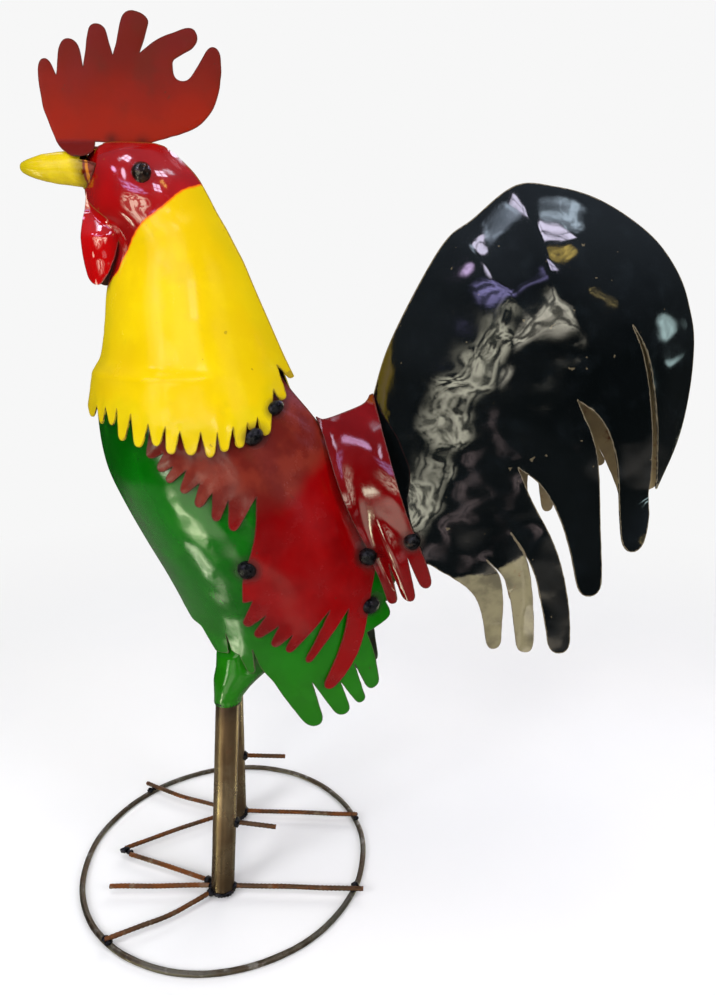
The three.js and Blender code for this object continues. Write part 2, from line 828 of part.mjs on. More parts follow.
// Beak: a blunt cone of rolled sheet, narrower than it is tall, cut where it meets the head
const BEAK_TIP = [-147.5, 0, 748.3];
const BEAK_LONG = 61;
const BEAK_NARROW = 0.85;
const beakRows = [
  [3, 0.8],
  [5.3, 4],
  [8.5, 12],
  [11.3, 22],
  [13.4, 36],
  [16.2, BEAK_LONG],
];
const beakInside = beakRows.slice(1).map(([r, h]) => [r - SHEET, h === BEAK_LONG ? h : h + SHEET]);
const beakWall = [[0, 0], ...beakRows, ...beakInside.reverse(), [0, 2 * SHEET]];
const cone = turned(beakWall, BEAK_TIP, [BEAK_TIP[0] + BEAK_LONG, 0, 747.5], 14);
cone.scale(1, BEAK_NARROW, 1);
const beak = bodyOf(cone).subtract(fullHead);
add("beak", geometryOf(beak), 0xd9c41a, 0.35, 0.2);

// Wattles: drops of sheet, spooned out
const WATTLE = [-78, 692]; // middle of the drop
const wattleLine = [
  [-89, 729],
  [-95, 700, ROUND],
  [-97, 672, ROUND],
  [-92, 650, 8],
  [-82, 646, 6],
  [-70, 660, ROUND],
  [-61, 688, ROUND],
  [-58, 705, 6],
  [-72, 717],
];
const wattleForm = (x, z) =>
  16 - (x - WATTLE[0]) ** 2 / 40 - (z - WATTLE[1]) ** 2 / 260 + (z < 670 ? (670 - z) / 6 : 0);
const drop = slab(wattleForm, over(wattleForm, SHEET), wattleLine);
const wattle = drop.intersect(prism(wattleLine, 1)).subtract(fullHead);
pair("wattle", geometryOf(wattle), 0xc01010, 0.25, 0.2);

// Eyes and weld domes: the part of a ball that stands proud of the sheet under it
function dome([x, z], size, cover, grid = GRID) {
  const ball = new THREE.SphereGeometry(size / 2, 7, 5);
  ball.rotateX(Math.PI / 2);
  ball.translate(x, -cover(x, z) - size * 0.12, z);
  const reach = size + GRID;
  const window = [
    [x - reach, z - reach],
    [x + reach, z - reach],
    [x + reach, z + reach],
    [x - reach, z + reach],
  ];
  const shell = over(cover, GAP);
  const above = slab(shell, (p, q) => shell(p, q) + 60, window, grid);
  return geometryOf(bodyOf(ball).intersect(above));
}
pair("eye", dome([-31, 740], 17, neckOut, NECK_GRID), 0x181210, 0.3, 0.5);
const domes = [
  ["neck_weld_upper", [80, 537], 12, neckOut],
  ["neck_weld_lower", [63, 515], 14, neckOut],
  ["wing_weld_front", [53, 391], 17, wingOut],
  ["saddle_weld_front", [167, 389], 17, saddleOut],
  ["saddle_weld_back", [209, 411], 15, saddleOut],
  ["wing_weld_back", [170, 335], 15, wingOut],
];
for (const [name, at, size, cover] of domes)
  pair(name, dome(at, size, cover, cover === neckOut ? NECK_GRID : GRID), 0x2a2422, 0.45, 0.7);

// The origin goes to the middle of the part's foot print
const box = new THREE.Box3().setFromObject(group);
group.position.set(-(box.min.x + box.max.x) / 2, -(box.min.y + box.max.y) / 2, -box.min.z);

export default group;
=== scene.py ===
import json
import math

import bmesh
import bpy
import numpy as np
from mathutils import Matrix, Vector, noise
from mathutils.geometry import delaunay_2d_cdt

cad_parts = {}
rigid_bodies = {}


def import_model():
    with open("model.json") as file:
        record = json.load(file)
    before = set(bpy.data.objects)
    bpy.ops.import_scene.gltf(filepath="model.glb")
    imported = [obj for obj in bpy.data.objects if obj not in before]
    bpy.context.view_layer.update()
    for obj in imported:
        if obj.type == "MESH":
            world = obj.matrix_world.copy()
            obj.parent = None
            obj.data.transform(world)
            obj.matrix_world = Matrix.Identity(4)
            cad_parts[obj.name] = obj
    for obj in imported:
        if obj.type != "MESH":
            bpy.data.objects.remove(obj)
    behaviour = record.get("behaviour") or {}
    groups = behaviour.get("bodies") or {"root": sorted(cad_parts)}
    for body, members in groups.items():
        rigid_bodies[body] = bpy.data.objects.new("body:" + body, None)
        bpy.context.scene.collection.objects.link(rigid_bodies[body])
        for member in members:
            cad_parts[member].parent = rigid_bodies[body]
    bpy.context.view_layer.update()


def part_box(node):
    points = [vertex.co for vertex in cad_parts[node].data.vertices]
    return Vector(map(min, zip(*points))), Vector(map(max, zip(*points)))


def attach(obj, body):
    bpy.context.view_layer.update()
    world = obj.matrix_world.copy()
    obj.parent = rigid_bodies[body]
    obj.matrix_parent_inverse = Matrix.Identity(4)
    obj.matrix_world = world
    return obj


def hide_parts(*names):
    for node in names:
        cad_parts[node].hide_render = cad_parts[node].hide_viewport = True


for left_over in list(bpy.data.objects):
    bpy.data.objects.remove(left_over)
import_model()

MM = 0.001
ring_low, ring_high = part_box("base_ring")
CX = (ring_low.x + ring_high.x) / 2  # middle of the hoop in the frame
CY = (ring_low.y + ring_high.y) / 2 + 0.005  # the hoop sits 5 mm left of the middle plane

# Stock and main sizes, in millimetres, as in the solid model
SHEET = 1.2
GAP = 0.3
LEG_R = 12.7
LEG_WALL = 1.5
RING_LONG = 163.5
RING_WIDE = 154.0
RING_SHIFT = -5.0
RING_ROD = 6.2
TOE_ROD = 5.6
FLOOR_Z = -6.0
COLLAR_Z = 566.0
TAIL_DEPTH = 52.0
TAIL_ROLL = 115.0
FEET = {"left": ((5, -60), (19, -28)), "right": ((0, 58), (11, 28))}
LEG_FOOT_Z = FLOOR_Z + 4.0
LEG_TOP_Z = 250.0
AT_TUBE = LEG_R + 2 * GAP
THIGH_LOW, THIGH_HIGH = 226.0, 304.0
# where the spurs leave the legs, and their tips
SPURS = {"left": (80, (66, -49, 73)), "right": (94, (67, 46, 93))}
# bearings at which toes are welded to the hoop
LEFT_OUTER, LEFT_BACK, RIGHT_OUTER, RIGHT_BACK = -128.5, -21, 137.2, 20.5
BEAK_TIP = (-147.5, 0, 748.3)
BEAK_LONG = 62.0
LOBE_Z = 771.0  # the comb's front lobe is bent over below this height
ROUND = 1e3  # a cut as long as the outline allows
FAR_IN = 9.0  # stands for the distance to a cut edge on pieces that have none
FLOOR_HALF = 14.0
CAMERA_AT = (157.0, -669.0, 632.0)
CAMERA_DOWN = 16.1  # degrees below the level
CAMERA_LENS = 24.5
SIDES = (("left", -1), ("right", 1))
PITCH = 3.6


def unit(v):
    return v / np.linalg.norm(v)


def drift(*at):
    """Smooth noise at a place."""
    return noise.noise(Vector(at))


def linked(name, data):
    ob = bpy.data.objects.new(name, data)
    bpy.context.scene.collection.objects.link(ob)
    return ob


# Forms of the sheets: depth from the middle plane at a place of the side view
def sections(rows):
    """A form from its sections: each gives a height, its front and back, and its half width."""
    rows = np.array(rows, float)
    zs = rows[::-1, 0]

    def read(z, k):
        v = rows[::-1, k]
        z = np.asarray(z, float)
        i = np.clip(np.searchsorted(zs, z) - 1, 0, len(zs) - 2)
        f = (z - zs[i]) / (zs[i + 1] - zs[i])
        m = np.empty(len(zs))
        m[1:-1] = (v[2:] - v[:-2]) / (zs[2:] - zs[:-2])
        m[0] = (v[1] - v[0]) / (zs[1] - zs[0])
        m[-1] = (v[-1] - v[-2]) / (zs[-1] - zs[-2])
        h = zs[i + 1] - zs[i]
        g = np.clip(f, 0, 1)
        up = g * g * (3 - 2 * g)
        y = v[i] * (1 - up) + v[i + 1] * up
        y = y + m[i] * h * g * (1 - g) ** 2 - m[i + 1] * h * g * g * (1 - g)
        return y + np.where(f < 0, f * h * m[0], 0) + np.where(f > 1, (f - 1) * h * m[-1], 0)

    def form(x, z):
        front, back, width = read(z, 1), read(z, 2), read(z, 3)
        u = np.abs((2 * x - front - back) / np.maximum(back - front, 20))
        return np.where(width > 0, width * (1 - u**2.2), width * (1 + u**2.2))

    return form


neck_form = sections([  # height, front, back, half width
    [769, -66, -22, 1], [762, -80, -12, 12], [752, -88, 0, 20], [740, -90, 11, 26],
    [724, -90, 20, 30], [710, -88, 27, 31], [696, -74, 35, 33], [682, -67, 42, 35],
    [668, -70, 49, 38], [643, -79, 59, 45], [614, -84, 71, 54], [578, -92, 86, 65],
    [539, -107, 104, 77], [503, -114, 120, 87],
])
body_rows = sections([
    [660, -70, 30, 30], [630, -80, 45, 35], [600, -92, 60, 40], [580, -96, 70, 62],
    [554, -99, 84, 68], [524, -100, 108, 73], [494, -99, 130, 76], [466, -94, 146, 78],
    [430, -80, 166, 78], [393, -63, 182, 76], [350, -42, 196, 70], [310, -26, 206, 64],
    [270, -20, 210, 56], [230, -16, 208, 47], [190, -14, 204, 38],
])


def body_form(x, z):
    """Above its collar the body falls away inside the neck."""
    return body_rows(x, z) - 1.5 * np.maximum(z - COLLAR_Z, 0)


tail_seam = [
    (160, 490), (172, 541), (190, 598), (234, 680), (263, 705), (300, 733), (336, 732), (372, 723),
    (407, 705), (436, 683), (459, 654), (472, 625), (480, 595), (482, 548), (477, 499), (462, 448),
]


def smooth_curve(points, step=4.0):
    p = [np.array(q, float) for q in points]
    p = [2 * p[0] - p[1]] + p + [2 * p[-1] - p[-2]]
    out = []
    for i in range(1, len(p) - 2):
        n = max(2, int(np.linalg.norm(p[i + 1] - p[i]) / step))
        for k in range(n):
            t = k / n
            a, b, c, d = p[i - 1 : i + 3]
            square = 2 * a - 5 * b + 4 * c - d
            out.append(0.5 * (2 * b + (c - a) * t + square * t * t + (3 * b - 3 * c + d - a) * t**3))
    out.append(p[-2])
    return np.array(out)


SEAM = smooth_curve(tail_seam, 5.0)


def line_distance(x, z, line, signed=False):
    """Distance to an open line, and on which side."""
    x = np.atleast_1d(np.asarray(x, float)).ravel()
    z = np.atleast_1d(np.asarray(z, float)).ravel()
    a, b = line[:-1], line[1:]
    e = b - a
    q = np.stack([x, z], 1)[:, None, :] - a[None]
    t = np.clip((q * e).sum(2) / (e * e).sum(1), 0, 1)
    r = q - t[..., None] * e
    d = np.hypot(r[..., 0], r[..., 1])
    k = d.argmin(1)
    rows = np.arange(len(x))
    near = d[rows, k]
    if signed:
        cross = e[k, 0] * q[rows, k, 1] - e[k, 1] * q[rows, k, 0]
        near = np.where(cross <= 0, near, -near)
    return near


def tail_form(x, z):
    shape = np.shape(x)
    s = line_distance(x, z, SEAM, True)
    s = np.minimum(s / TAIL_ROLL, 1)
    return (TAIL_DEPTH * (1 - (1 - s) ** 2)).reshape(shape)


def slope(form, x, z, e=2.0):
    dx = (form(x + e, z) - form(x - e, z)) / (2 * e)
    dz = (form(x, z + e) - form(x, z - e)) / (2 * e)
    return dx, dz


def over(form, by):
    """The form moved outward, measured square to its surface."""

    def f(x, z):
        dx, dz = slope(form, x, z)
        return form(x, z) + by * np.minimum(np.sqrt(1 + dx * dx + dz * dz), 3)

    return f


def higher(a, b, k=6.0):
    """The outer one of two forms, with a soft passage between them."""

    def f(x, z):
        p, q = a(x, z), b(x, z)
        return (p + q + np.hypot(p - q, k)) / 2

    return f


def tabled(form, step=3.0):
    """The same form read from a fine table, with a smooth curve between its entries."""
    xs = np.arange(-180, 540, step)
    zs = np.arange(170, 900, step)
    grid_x, grid_z = np.meshgrid(xs, zs)
    values = form(grid_x.ravel(), grid_z.ravel()).reshape(grid_x.shape)

    def weights(t):
        return (
            ((2 - t) * t - 1) * t / 2,
            ((3 * t - 5) * t * t + 2) / 2,
            ((4 - 3 * t) * t + 1) * t / 2,
            (t - 1) * t * t / 2,
        )

    def f(x, z):
        shape = np.shape(x)
        u = (np.ravel(x) - xs[0]) / step
        v = (np.ravel(z) - zs[0]) / step
        i = np.clip(np.floor(u).astype(int), 1, len(xs) - 3)
        j = np.clip(np.floor(v).astype(int), 1, len(zs) - 3)
        wx = weights(np.clip(u - i, 0, 1))
        wz = weights(np.clip(v - j, 0, 1))
        out = 0.0
        for b in range(4):
            for a in range(4):
                out = out + wx[a] * wz[b] * values[j + b - 1, i + a - 1]
        return out.reshape(shape)

    return f


# Outlines and flat meshes
class Tip:
    """The blunt end of a finger: its place and width."""

    def __init__(self, x, z, w):
        self.at = np.array([x, z], float)
        self.w = w


def outline(items, steps=5, pitch=3.6, rough=0.25, seed=0):
    """The drawn line with its corners rounded, in short steps, a little ragged as snips leave it."""
    flat = []
    n = len(items)

    def place(e):
        return e.at if isinstance(e, Tip) else np.array(e[:2], float)

    for i, e in enumerate(items):
        if not isinstance(e, Tip):
            cut = float(e[2]) if len(e) > 2 else 0.0
            flat.append((float(e[0]), float(e[1]), cut, cut))
            continue
        a, b = place(items[i - 1]), place(items[(i + 1) % n])
        along = unit(e.at - (a + b) / 2)
        cross = np.array([-along[1], along[0]])
        first = 1 if np.dot(cross, a - e.at) > 0 else -1
        for s in (first, -first):
            p = e.at + cross * s * e.w / 2
            side, end = e.w * 0.8, e.w * 0.5
            flat.append((p[0], p[1], side, end) if s == first else (p[0], p[1], end, side))
    path = []
    n = len(flat)
    for i, (x, z, cut, cut_after) in enumerate(flat):
        here = np.array([x, z])
        if cut == 0:
            path.append(here)
            continue
        ends = []
        for q, take in ((flat[i - 1], cut), (flat[(i + 1) % n], cut_after)):
            side = np.array(q[:2]) - here
            long = np.linalg.norm(side)
            ends.append(here + side / long * min(take, long * 0.5))
        for k in range(steps + 1):
            t = k / steps
            path.append((1 - t) ** 2 * ends[0] + 2 * t * (1 - t) * here + t * t * ends[1])
    out = []
    for i, p in enumerate(path):
        q = path[(i + 1) % len(path)]
        long = np.linalg.norm(q - p)
        if long < 0.05:
            continue
        m = max(1, int(round(long / pitch)))
        for k in range(m):
            out.append(p + (q - p) * k / m)
    out = np.array(out)
    if rough:
        for i, p in enumerate(out):
            out[i] += rough * np.array([drift(*(p * 0.12), seed + k) for k in (0, 50)])
    return out


def inside(poly, pts):
    x, y = pts[:, 0], pts[:, 1]
    hit = np.zeros(len(pts), bool)
    for (x1, y1), (x2, y2) in zip(poly, np.roll(poly, -1, 0)):
        if y1 == y2:
            continue
        hit ^= ((y1 > y) != (y2 > y)) & (x < (x2 - x1) * (y - y1) / (y2 - y1) + x1)
    return hit


def edge_distance(poly, pts):
    loop = np.vstack([poly, poly[:1]])
    out = np.empty(len(pts))
    for k in range(0, len(pts), 1500):
        out[k : k + 1500] = line_distance(pts[k : k + 1500, 0], pts[k : k + 1500, 1], loop)
    return out


def to_seam(poly, form):
    """Outline points beyond the seam are drawn back to where the form reaches the middle plane."""
    p = poly.copy()
    for _ in range(25):
        d = form(p[:, 0], p[:, 1])
        bad = d < -0.01
        if not bad.any():
            break
        dx, dz = slope(form, p[:, 0], p[:, 1], 0.5)
        g = np.maximum(dx * dx + dz * dz, 0.05)
        step = np.clip(-d / g, 0, 3)
        p[:, 0] += np.where(bad, dx * step, 0)
        p[:, 1] += np.where(bad, dz * step, 0)
    keep = [0]
    for i in range(1, len(p)):
        if np.linalg.norm(p[i] - p[keep[-1]]) > 0.6:
            keep.append(i)
    return p[keep]


def triangulate(poly, pitch, shrink=0.55):
    """Points and triangles of an even mesh inside an outline."""
    lo, hi = poly.min(0), poly.max(0)
    rows = []
    j = 0
    z = lo[1] + pitch * 0.37
    while z < hi[1]:
        xs = np.arange(lo[0] + (pitch / 2 if j % 2 else 0.0), hi[0], pitch)
        rows.append(np.stack([xs, np.full_like(xs, z)], 1))
        z += pitch * 0.866
        j += 1
    pts = np.vstack(rows)
    pts = pts[inside(poly, pts)]
    pts = pts[edge_distance(poly, pts) > pitch * shrink]
    n = len(poly)
    co = [Vector(p) for p in poly] + [Vector(p) for p in pts]
    res = delaunay_2d_cdt(co, [(i, (i + 1) % n) for i in range(n)], [], 0, 1e-5)
    verts = np.array([tuple(v) for v in res[0]])
    faces = np.array(res[2])
    mid = verts[faces].mean(1)
    faces = faces[inside(poly, mid)]
    used = np.unique(faces)
    remap = -np.ones(len(verts), int)
    remap[used] = np.arange(len(used))
    return verts[used], remap[faces]


# Meshes and pieces
def finish_piece(name, me, node, mats, smooth_angle=38.0):
    for m in mats:
        me.materials.append(m)
    for p in me.polygons:
        p.use_smooth = True
    me.set_sharp_from_angle(angle=math.radians(smooth_angle))
    ob = linked(name + "_made", me)
    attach(ob, "root")
    if node:
        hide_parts(node)


def add_attribute(me, key, values):
    a = me.attributes.new(key, "FLOAT", "POINT")
    a.data.foreach_set("value", np.asarray(values, np.float32))


def mesh_from(name, verts, faces, mat_index=None):
    me = bpy.data.meshes.new(name)
    me.from_pydata([tuple(v) for v in verts], [], [tuple(int(i) for i in f) for f in faces])
    me.update()
    if mat_index is not None:
        me.polygons.foreach_set("material_index", np.asarray(mat_index, np.int32))
    return me


def place(pts):
    """Ring-centred millimetres to the frame's metres."""
    pts = np.asarray(pts, float)
    return np.stack([pts[:, 0] * MM + CX, pts[:, 1] * MM + CY, (pts[:, 2] - FLOOR_Z) * MM], 1)


def noise_at(x, z, scale, seed, octaves=2):
    out = np.empty(len(x))
    for i, (a, b) in enumerate(zip(x, z)):
        v, amp, f = 0.0, 1.0, 1.0 / scale
        for k in range(octaves):
            v += amp * drift(a * f, b * f, seed + 7.3 * k)
            amp *= 0.5
            f *= 2.1
        out[i] = v
    return out


def dents(x, z, seed, deep=1.6, size=62.0, fine=0.35, fine_size=21.0):
    return deep * noise_at(x, z, size, seed) + fine * noise_at(x, z, fine_size, seed + 31, 1)


def skin(verts, faces, way):
    """The faces turned to the given way along y, and the normals at the points."""
    a, b, c = (verts[faces[:, k]] for k in range(3))
    cross = np.cross(b - a, c - a)
    if cross[:, 1].mean() * way < 0:
        faces, cross = faces[:, [0, 2, 1]], -cross
    n = np.zeros_like(verts)
    for k in range(3):
        np.add.at(n, faces[:, k], cross)
    return faces, n / np.linalg.norm(n, axis=1)[:, None]


def two_skins(faces, count):
    """Triangles of a sheet's two skins, and the quads of its cut edge."""
    edges = {(int(f[i]), int(f[(i + 1) % 3])): True for f in faces for i in range(3)}
    rim = [(b, a, a + count, b + count) for a, b in edges if (b, a) not in edges]
    return [tuple(f) for f in faces] + [tuple(f[::-1] + count) for f in faces], rim


def sheet(name, form, items, mats, side, pitch, seed, shape=None, attrs=(), seam=True, dent=1.0,
          fade=None, cut=0.0):
    """One formed half: outline cut, sheet formed to its depth, dented by hand, with its own thickness."""
    poly = outline(items, pitch=pitch * 0.9, rough=0.3, seed=cut + (0 if side < 0 else 9))
    if seam:
        poly = to_seam(poly, form)
    flat, faces = triangulate(poly, pitch)
    x, z = flat[:, 0], flat[:, 1]
    edge = edge_distance(poly, flat)
    base = form(x, z)
    # near the seam the dents fade, so that the halves still meet
    near_seam = np.clip((fade(x, z) if fade else base) / 14.0, 0, 1)
    d = np.maximum(base, 0.0) + GAP / 2
    if dent:
        d = d + dent * near_seam * dents(x, z, seed)
    if shape is not None:
        d = d + near_seam * shape(x, z, edge)
    inner = np.stack([x, d, z], 1)
    faces, n = skin(inner, faces, 1)
    tri, rim = two_skins(faces, len(inner))
    mat = [0] * len(faces) + [1] * len(faces) + [2] * len(rim)
    both = tri + rim
    pts = np.vstack([inner + n * SHEET, inner])
    pts[:, 1] *= side
    if side < 0:
        both = [f[::-1] for f in both]
    me = mesh_from(name, place(pts), both, mat)
    add_attribute(me, "edge", np.concatenate([edge, edge]))
    for key, fun in attrs:
        v = fun(x, z)
        add_attribute(me, key, np.concatenate([v, v]))
    finish_piece(name, me, name, mats)


# Outlines of the sheets: x and z in the side view, with a cut for a rounded corner
T = Tip
neck_line = [
    (-96, 752), (-86, 766, 8), (-62, 768), (-24, 767), (-4, 762, ROUND), (16, 744, ROUND),
    (36, 712, ROUND), (66, 645, ROUND), (88, 592), T(93, 561, 5), (79, 574), T(86, 543, 6),
    (77, 553), T(73, 515, 7), (65, 531), T(61, 521, 5), (57, 527), T(52, 507, 7), (46, 525),
    T(39, 505, 7), (33, 521), T(28, 501, 7), (19, 522), T(11, 503, 8), (2, 523), T(-7, 504, 8),
    (-11, 527), T(-20, 510, 7), (-27, 529), T(-38, 508, 8), (-44, 536), T(-55, 512, 7), (-60, 539),
    T(-67, 524, 6), (-74, 539), T(-82, 523, 6), (-87, 538), T(-98, 526, 7), (-112, 537),
    (-101, 562, 6), (-90, 590, 8), (-84.5, 606, 4), (-90, 616, 2), (-86, 634, 6), (-78, 660, 9),
    (-73, 683, 8), (-67, 696, 5), (-66, 703, 3), (-84, 716, 5), (-95, 728, 3),
]
body_line = [
    (-104, 562), (-106, 520, ROUND), (-105, 490, ROUND), (-98, 450, ROUND), (-72, 396, ROUND),
    (-40, 336, ROUND), (-20, 306, 4), (-8, 305, 4), (9, 279, 3), (24, 283, 2), (23, 308), (28, 288),
    (36, 285), T(48, 264, 8), (51, 296), (58, 273), (70, 258, 6), (88, 222, ROUND), T(113, 197, 18),
    (110, 257), T(143, 209, 15), (139, 254), T(161, 221, 10), (153, 274), T(174, 236, 13),
    (174, 280, 8), (166, 306), T(190, 317, 6), (185, 332), (202, 356), (187, 396, ROUND),
    (171, 434, ROUND), (151, 470, ROUND), (120, 514, ROUND), (84, 560),
]
wing_line = [
    (82, 562), (102, 541), (124, 519), (138, 494), (154, 462), (168, 430), (178, 396), (176, 379, 5),
    (170, 350, ROUND), (162, 298, ROUND), (148, 270, ROUND), T(125, 249, 11), (142, 306, ROUND),
    (147, 339), (124, 306, ROUND), T(106, 285, 7), (129, 342), T(87, 299, 8), (93, 319),
    T(73, 305, 8), (80, 329), T(56, 314, 8), (68, 341), T(46, 326, 8), (56, 357), (46, 354, 3),
    (48, 380, 8), (63, 424, ROUND), (64, 461), T(42, 431, 8), (40, 460), T(27, 440, 8), (26, 467),
    T(11, 453, 8), (15, 476), T(-2, 466, 7), (3, 487), T(-16, 475, 7), (-9, 490), T(-24, 485, 7),
    (-17, 502), T(-33, 496, 7), (-22, 545),
]
saddle_line = [
    (115, 522), (123, 505, ROUND), (136, 464, ROUND), (151, 426, ROUND), (165, 399), (170, 385),
    (181, 359, ROUND), T(193, 338, 11), (188, 385), T(209, 348, 12), (205, 394), T(225, 363, 12),
    (225, 385, 6), (206, 430, ROUND), (189, 482, ROUND), (172, 545),
]
tail_top = [
    (158, 528), (168, 548), (186, 601, ROUND), (229, 686, ROUND), (260, 711, ROUND), (298, 738, ROUND),
    (338, 737, ROUND), (375, 728, ROUND), (411, 709, ROUND), (441, 686, ROUND), (464, 656, ROUND),
    (477, 626, ROUND), (485, 596, ROUND), (487, 548, ROUND), (482, 498, ROUND),
]
tail_root = [(212, 391), (194, 440), (176, 484)]
tail_line = tail_top + [
    T(464, 447, 6), (432, 552, ROUND), (421, 588, ROUND), (402, 612), (417, 586, ROUND),
    (427, 552, ROUND), (455, 440, ROUND), T(426, 395, 21), (413, 432, ROUND), (404, 484, ROUND),
    (382, 530, ROUND), (357, 546), (380, 502, ROUND), (391, 438, ROUND), T(386, 353, 23),
    (359, 414, ROUND), (334, 464, ROUND), (307, 483), (322, 450, ROUND), (350, 404, ROUND),
    (367, 345, ROUND), T(361, 290, 21), (343, 328, ROUND), (330, 380, ROUND), (304, 419),
    (322, 395, ROUND), (333, 342, ROUND), T(328, 287, 16), (313, 328, ROUND), (304, 370, ROUND),
    (282, 391), (297, 376, ROUND), (304, 340, ROUND), T(297, 288, 15), (284, 325, ROUND),
    (270, 360, ROUND), (227, 386),
] + tail_root
tail_right_line = tail_top + [
    (479, 470, 8), (452, 440, 8), (440, 420, 8), (428, 452, ROUND), (420, 470, 5), (413, 484),
    T(418, 466, 9), (390, 475), (372, 452, ROUND), T(368, 408, 12), (350, 470), (340, 440, ROUND),
    (360, 380, ROUND), T(376, 296, 15), (360, 336, ROUND), (348, 372), T(340, 297, 13),
    (322, 340, ROUND), (306, 352), T(305, 290, 12), (286, 330, ROUND), (264, 358, ROUND), (227, 380),
] + tail_root

body_form = tabled(body_form)
tail_form = tabled(tail_form)
body_out = tabled(over(body_form, SHEET))
wing_in = tabled(over(body_out, 2 * GAP))
wing_out = tabled(over(wing_in, SHEET))
over_wing = tabled(over(wing_out, 2 * GAP))
neck_in = tabled(higher(neck_form, over_wing))
neck_out = tabled(over(neck_in, SHEET))
tail_out = tabled(over(tail_form, SHEET))
over_tail = tabled(over(tail_out, 2 * GAP))


def gentle(f):
    k = np.clip(f, 0, 1)
    return k * k * (3 - 2 * k)


def beside(a, b, x, z):
    """Distance from the line through a and b, positive to its right."""
    return ((x - a[0]) * (b[1] - a[1]) - (z - a[1]) * (b[0] - a[0])) / math.dist(a, b)


def strap(x, z):
    """The saddle swells away from its own top edge and gets deeper towards the tail."""
    down = np.minimum(beside((117, 516), (171, 536), x, z) / 95, 1)
    across = gentle(-beside((117, 516), (167, 404), x, z) / 50)
    return (36 + 18 * across) * (1 - (1 - down) ** 2)


def under_saddle(x, z):
    on_tail = gentle((51 - beside((176, 484), (212, 391), x, z)) / 34)
    wing = over_wing(x, z)
    return wing + (np.maximum(over_tail(x, z), wing) - wing) * on_tail


saddle_in = tabled(higher(strap, under_saddle))
saddle_out = tabled(over(saddle_in, SHEET))

welds = {  # place in the side view, size, the sheet it stands on
    "neck_weld_upper": (80, 537, 12, neck_out),
    "neck_weld_lower": (63, 515, 14, neck_out),
    "wing_weld_front": (53, 391, 17, wing_out),
    "saddle_weld_front": (167, 389, 17, saddle_out),
    "saddle_weld_back": (209, 411, 15, saddle_out),
    "wing_weld_back": (170, 335, 15, wing_out),
}


def burn(x, z):
    """Nearness to a weld, 1 at the weld and 0 beyond it."""
    out = np.zeros_like(x)
    for wx, wz, size, _ in welds.values():
        d = np.hypot(x - wx, z - wz)
        out = np.maximum(out, np.clip(1 - (d - size * 0.45) / (size * 0.55), 0, 1))
    return out


# Distance to the line between the red and the yellow paint; above it is positive
paint_line = smooth_curve(
    [(30, 739), (14, 734), (2, 728), (-6, 721), (-15, 712), (-26, 704), (-34, 698), (-42, 689),
     (-48, 680), (-56, 670), (-62, 660), (-71, 653), (-82, 643), (-100, 628)], 3.0)


def red_side(x, z):
    return line_distance(x, z, paint_line, True)


# Materials
def lin(r, g, b):
    def f(c):
        c /= 255
        return c / 12.92 if c <= 0.04045 else ((c + 0.055) / 1.055) ** 2.4

    return (f(r), f(g), f(b), 1.0)


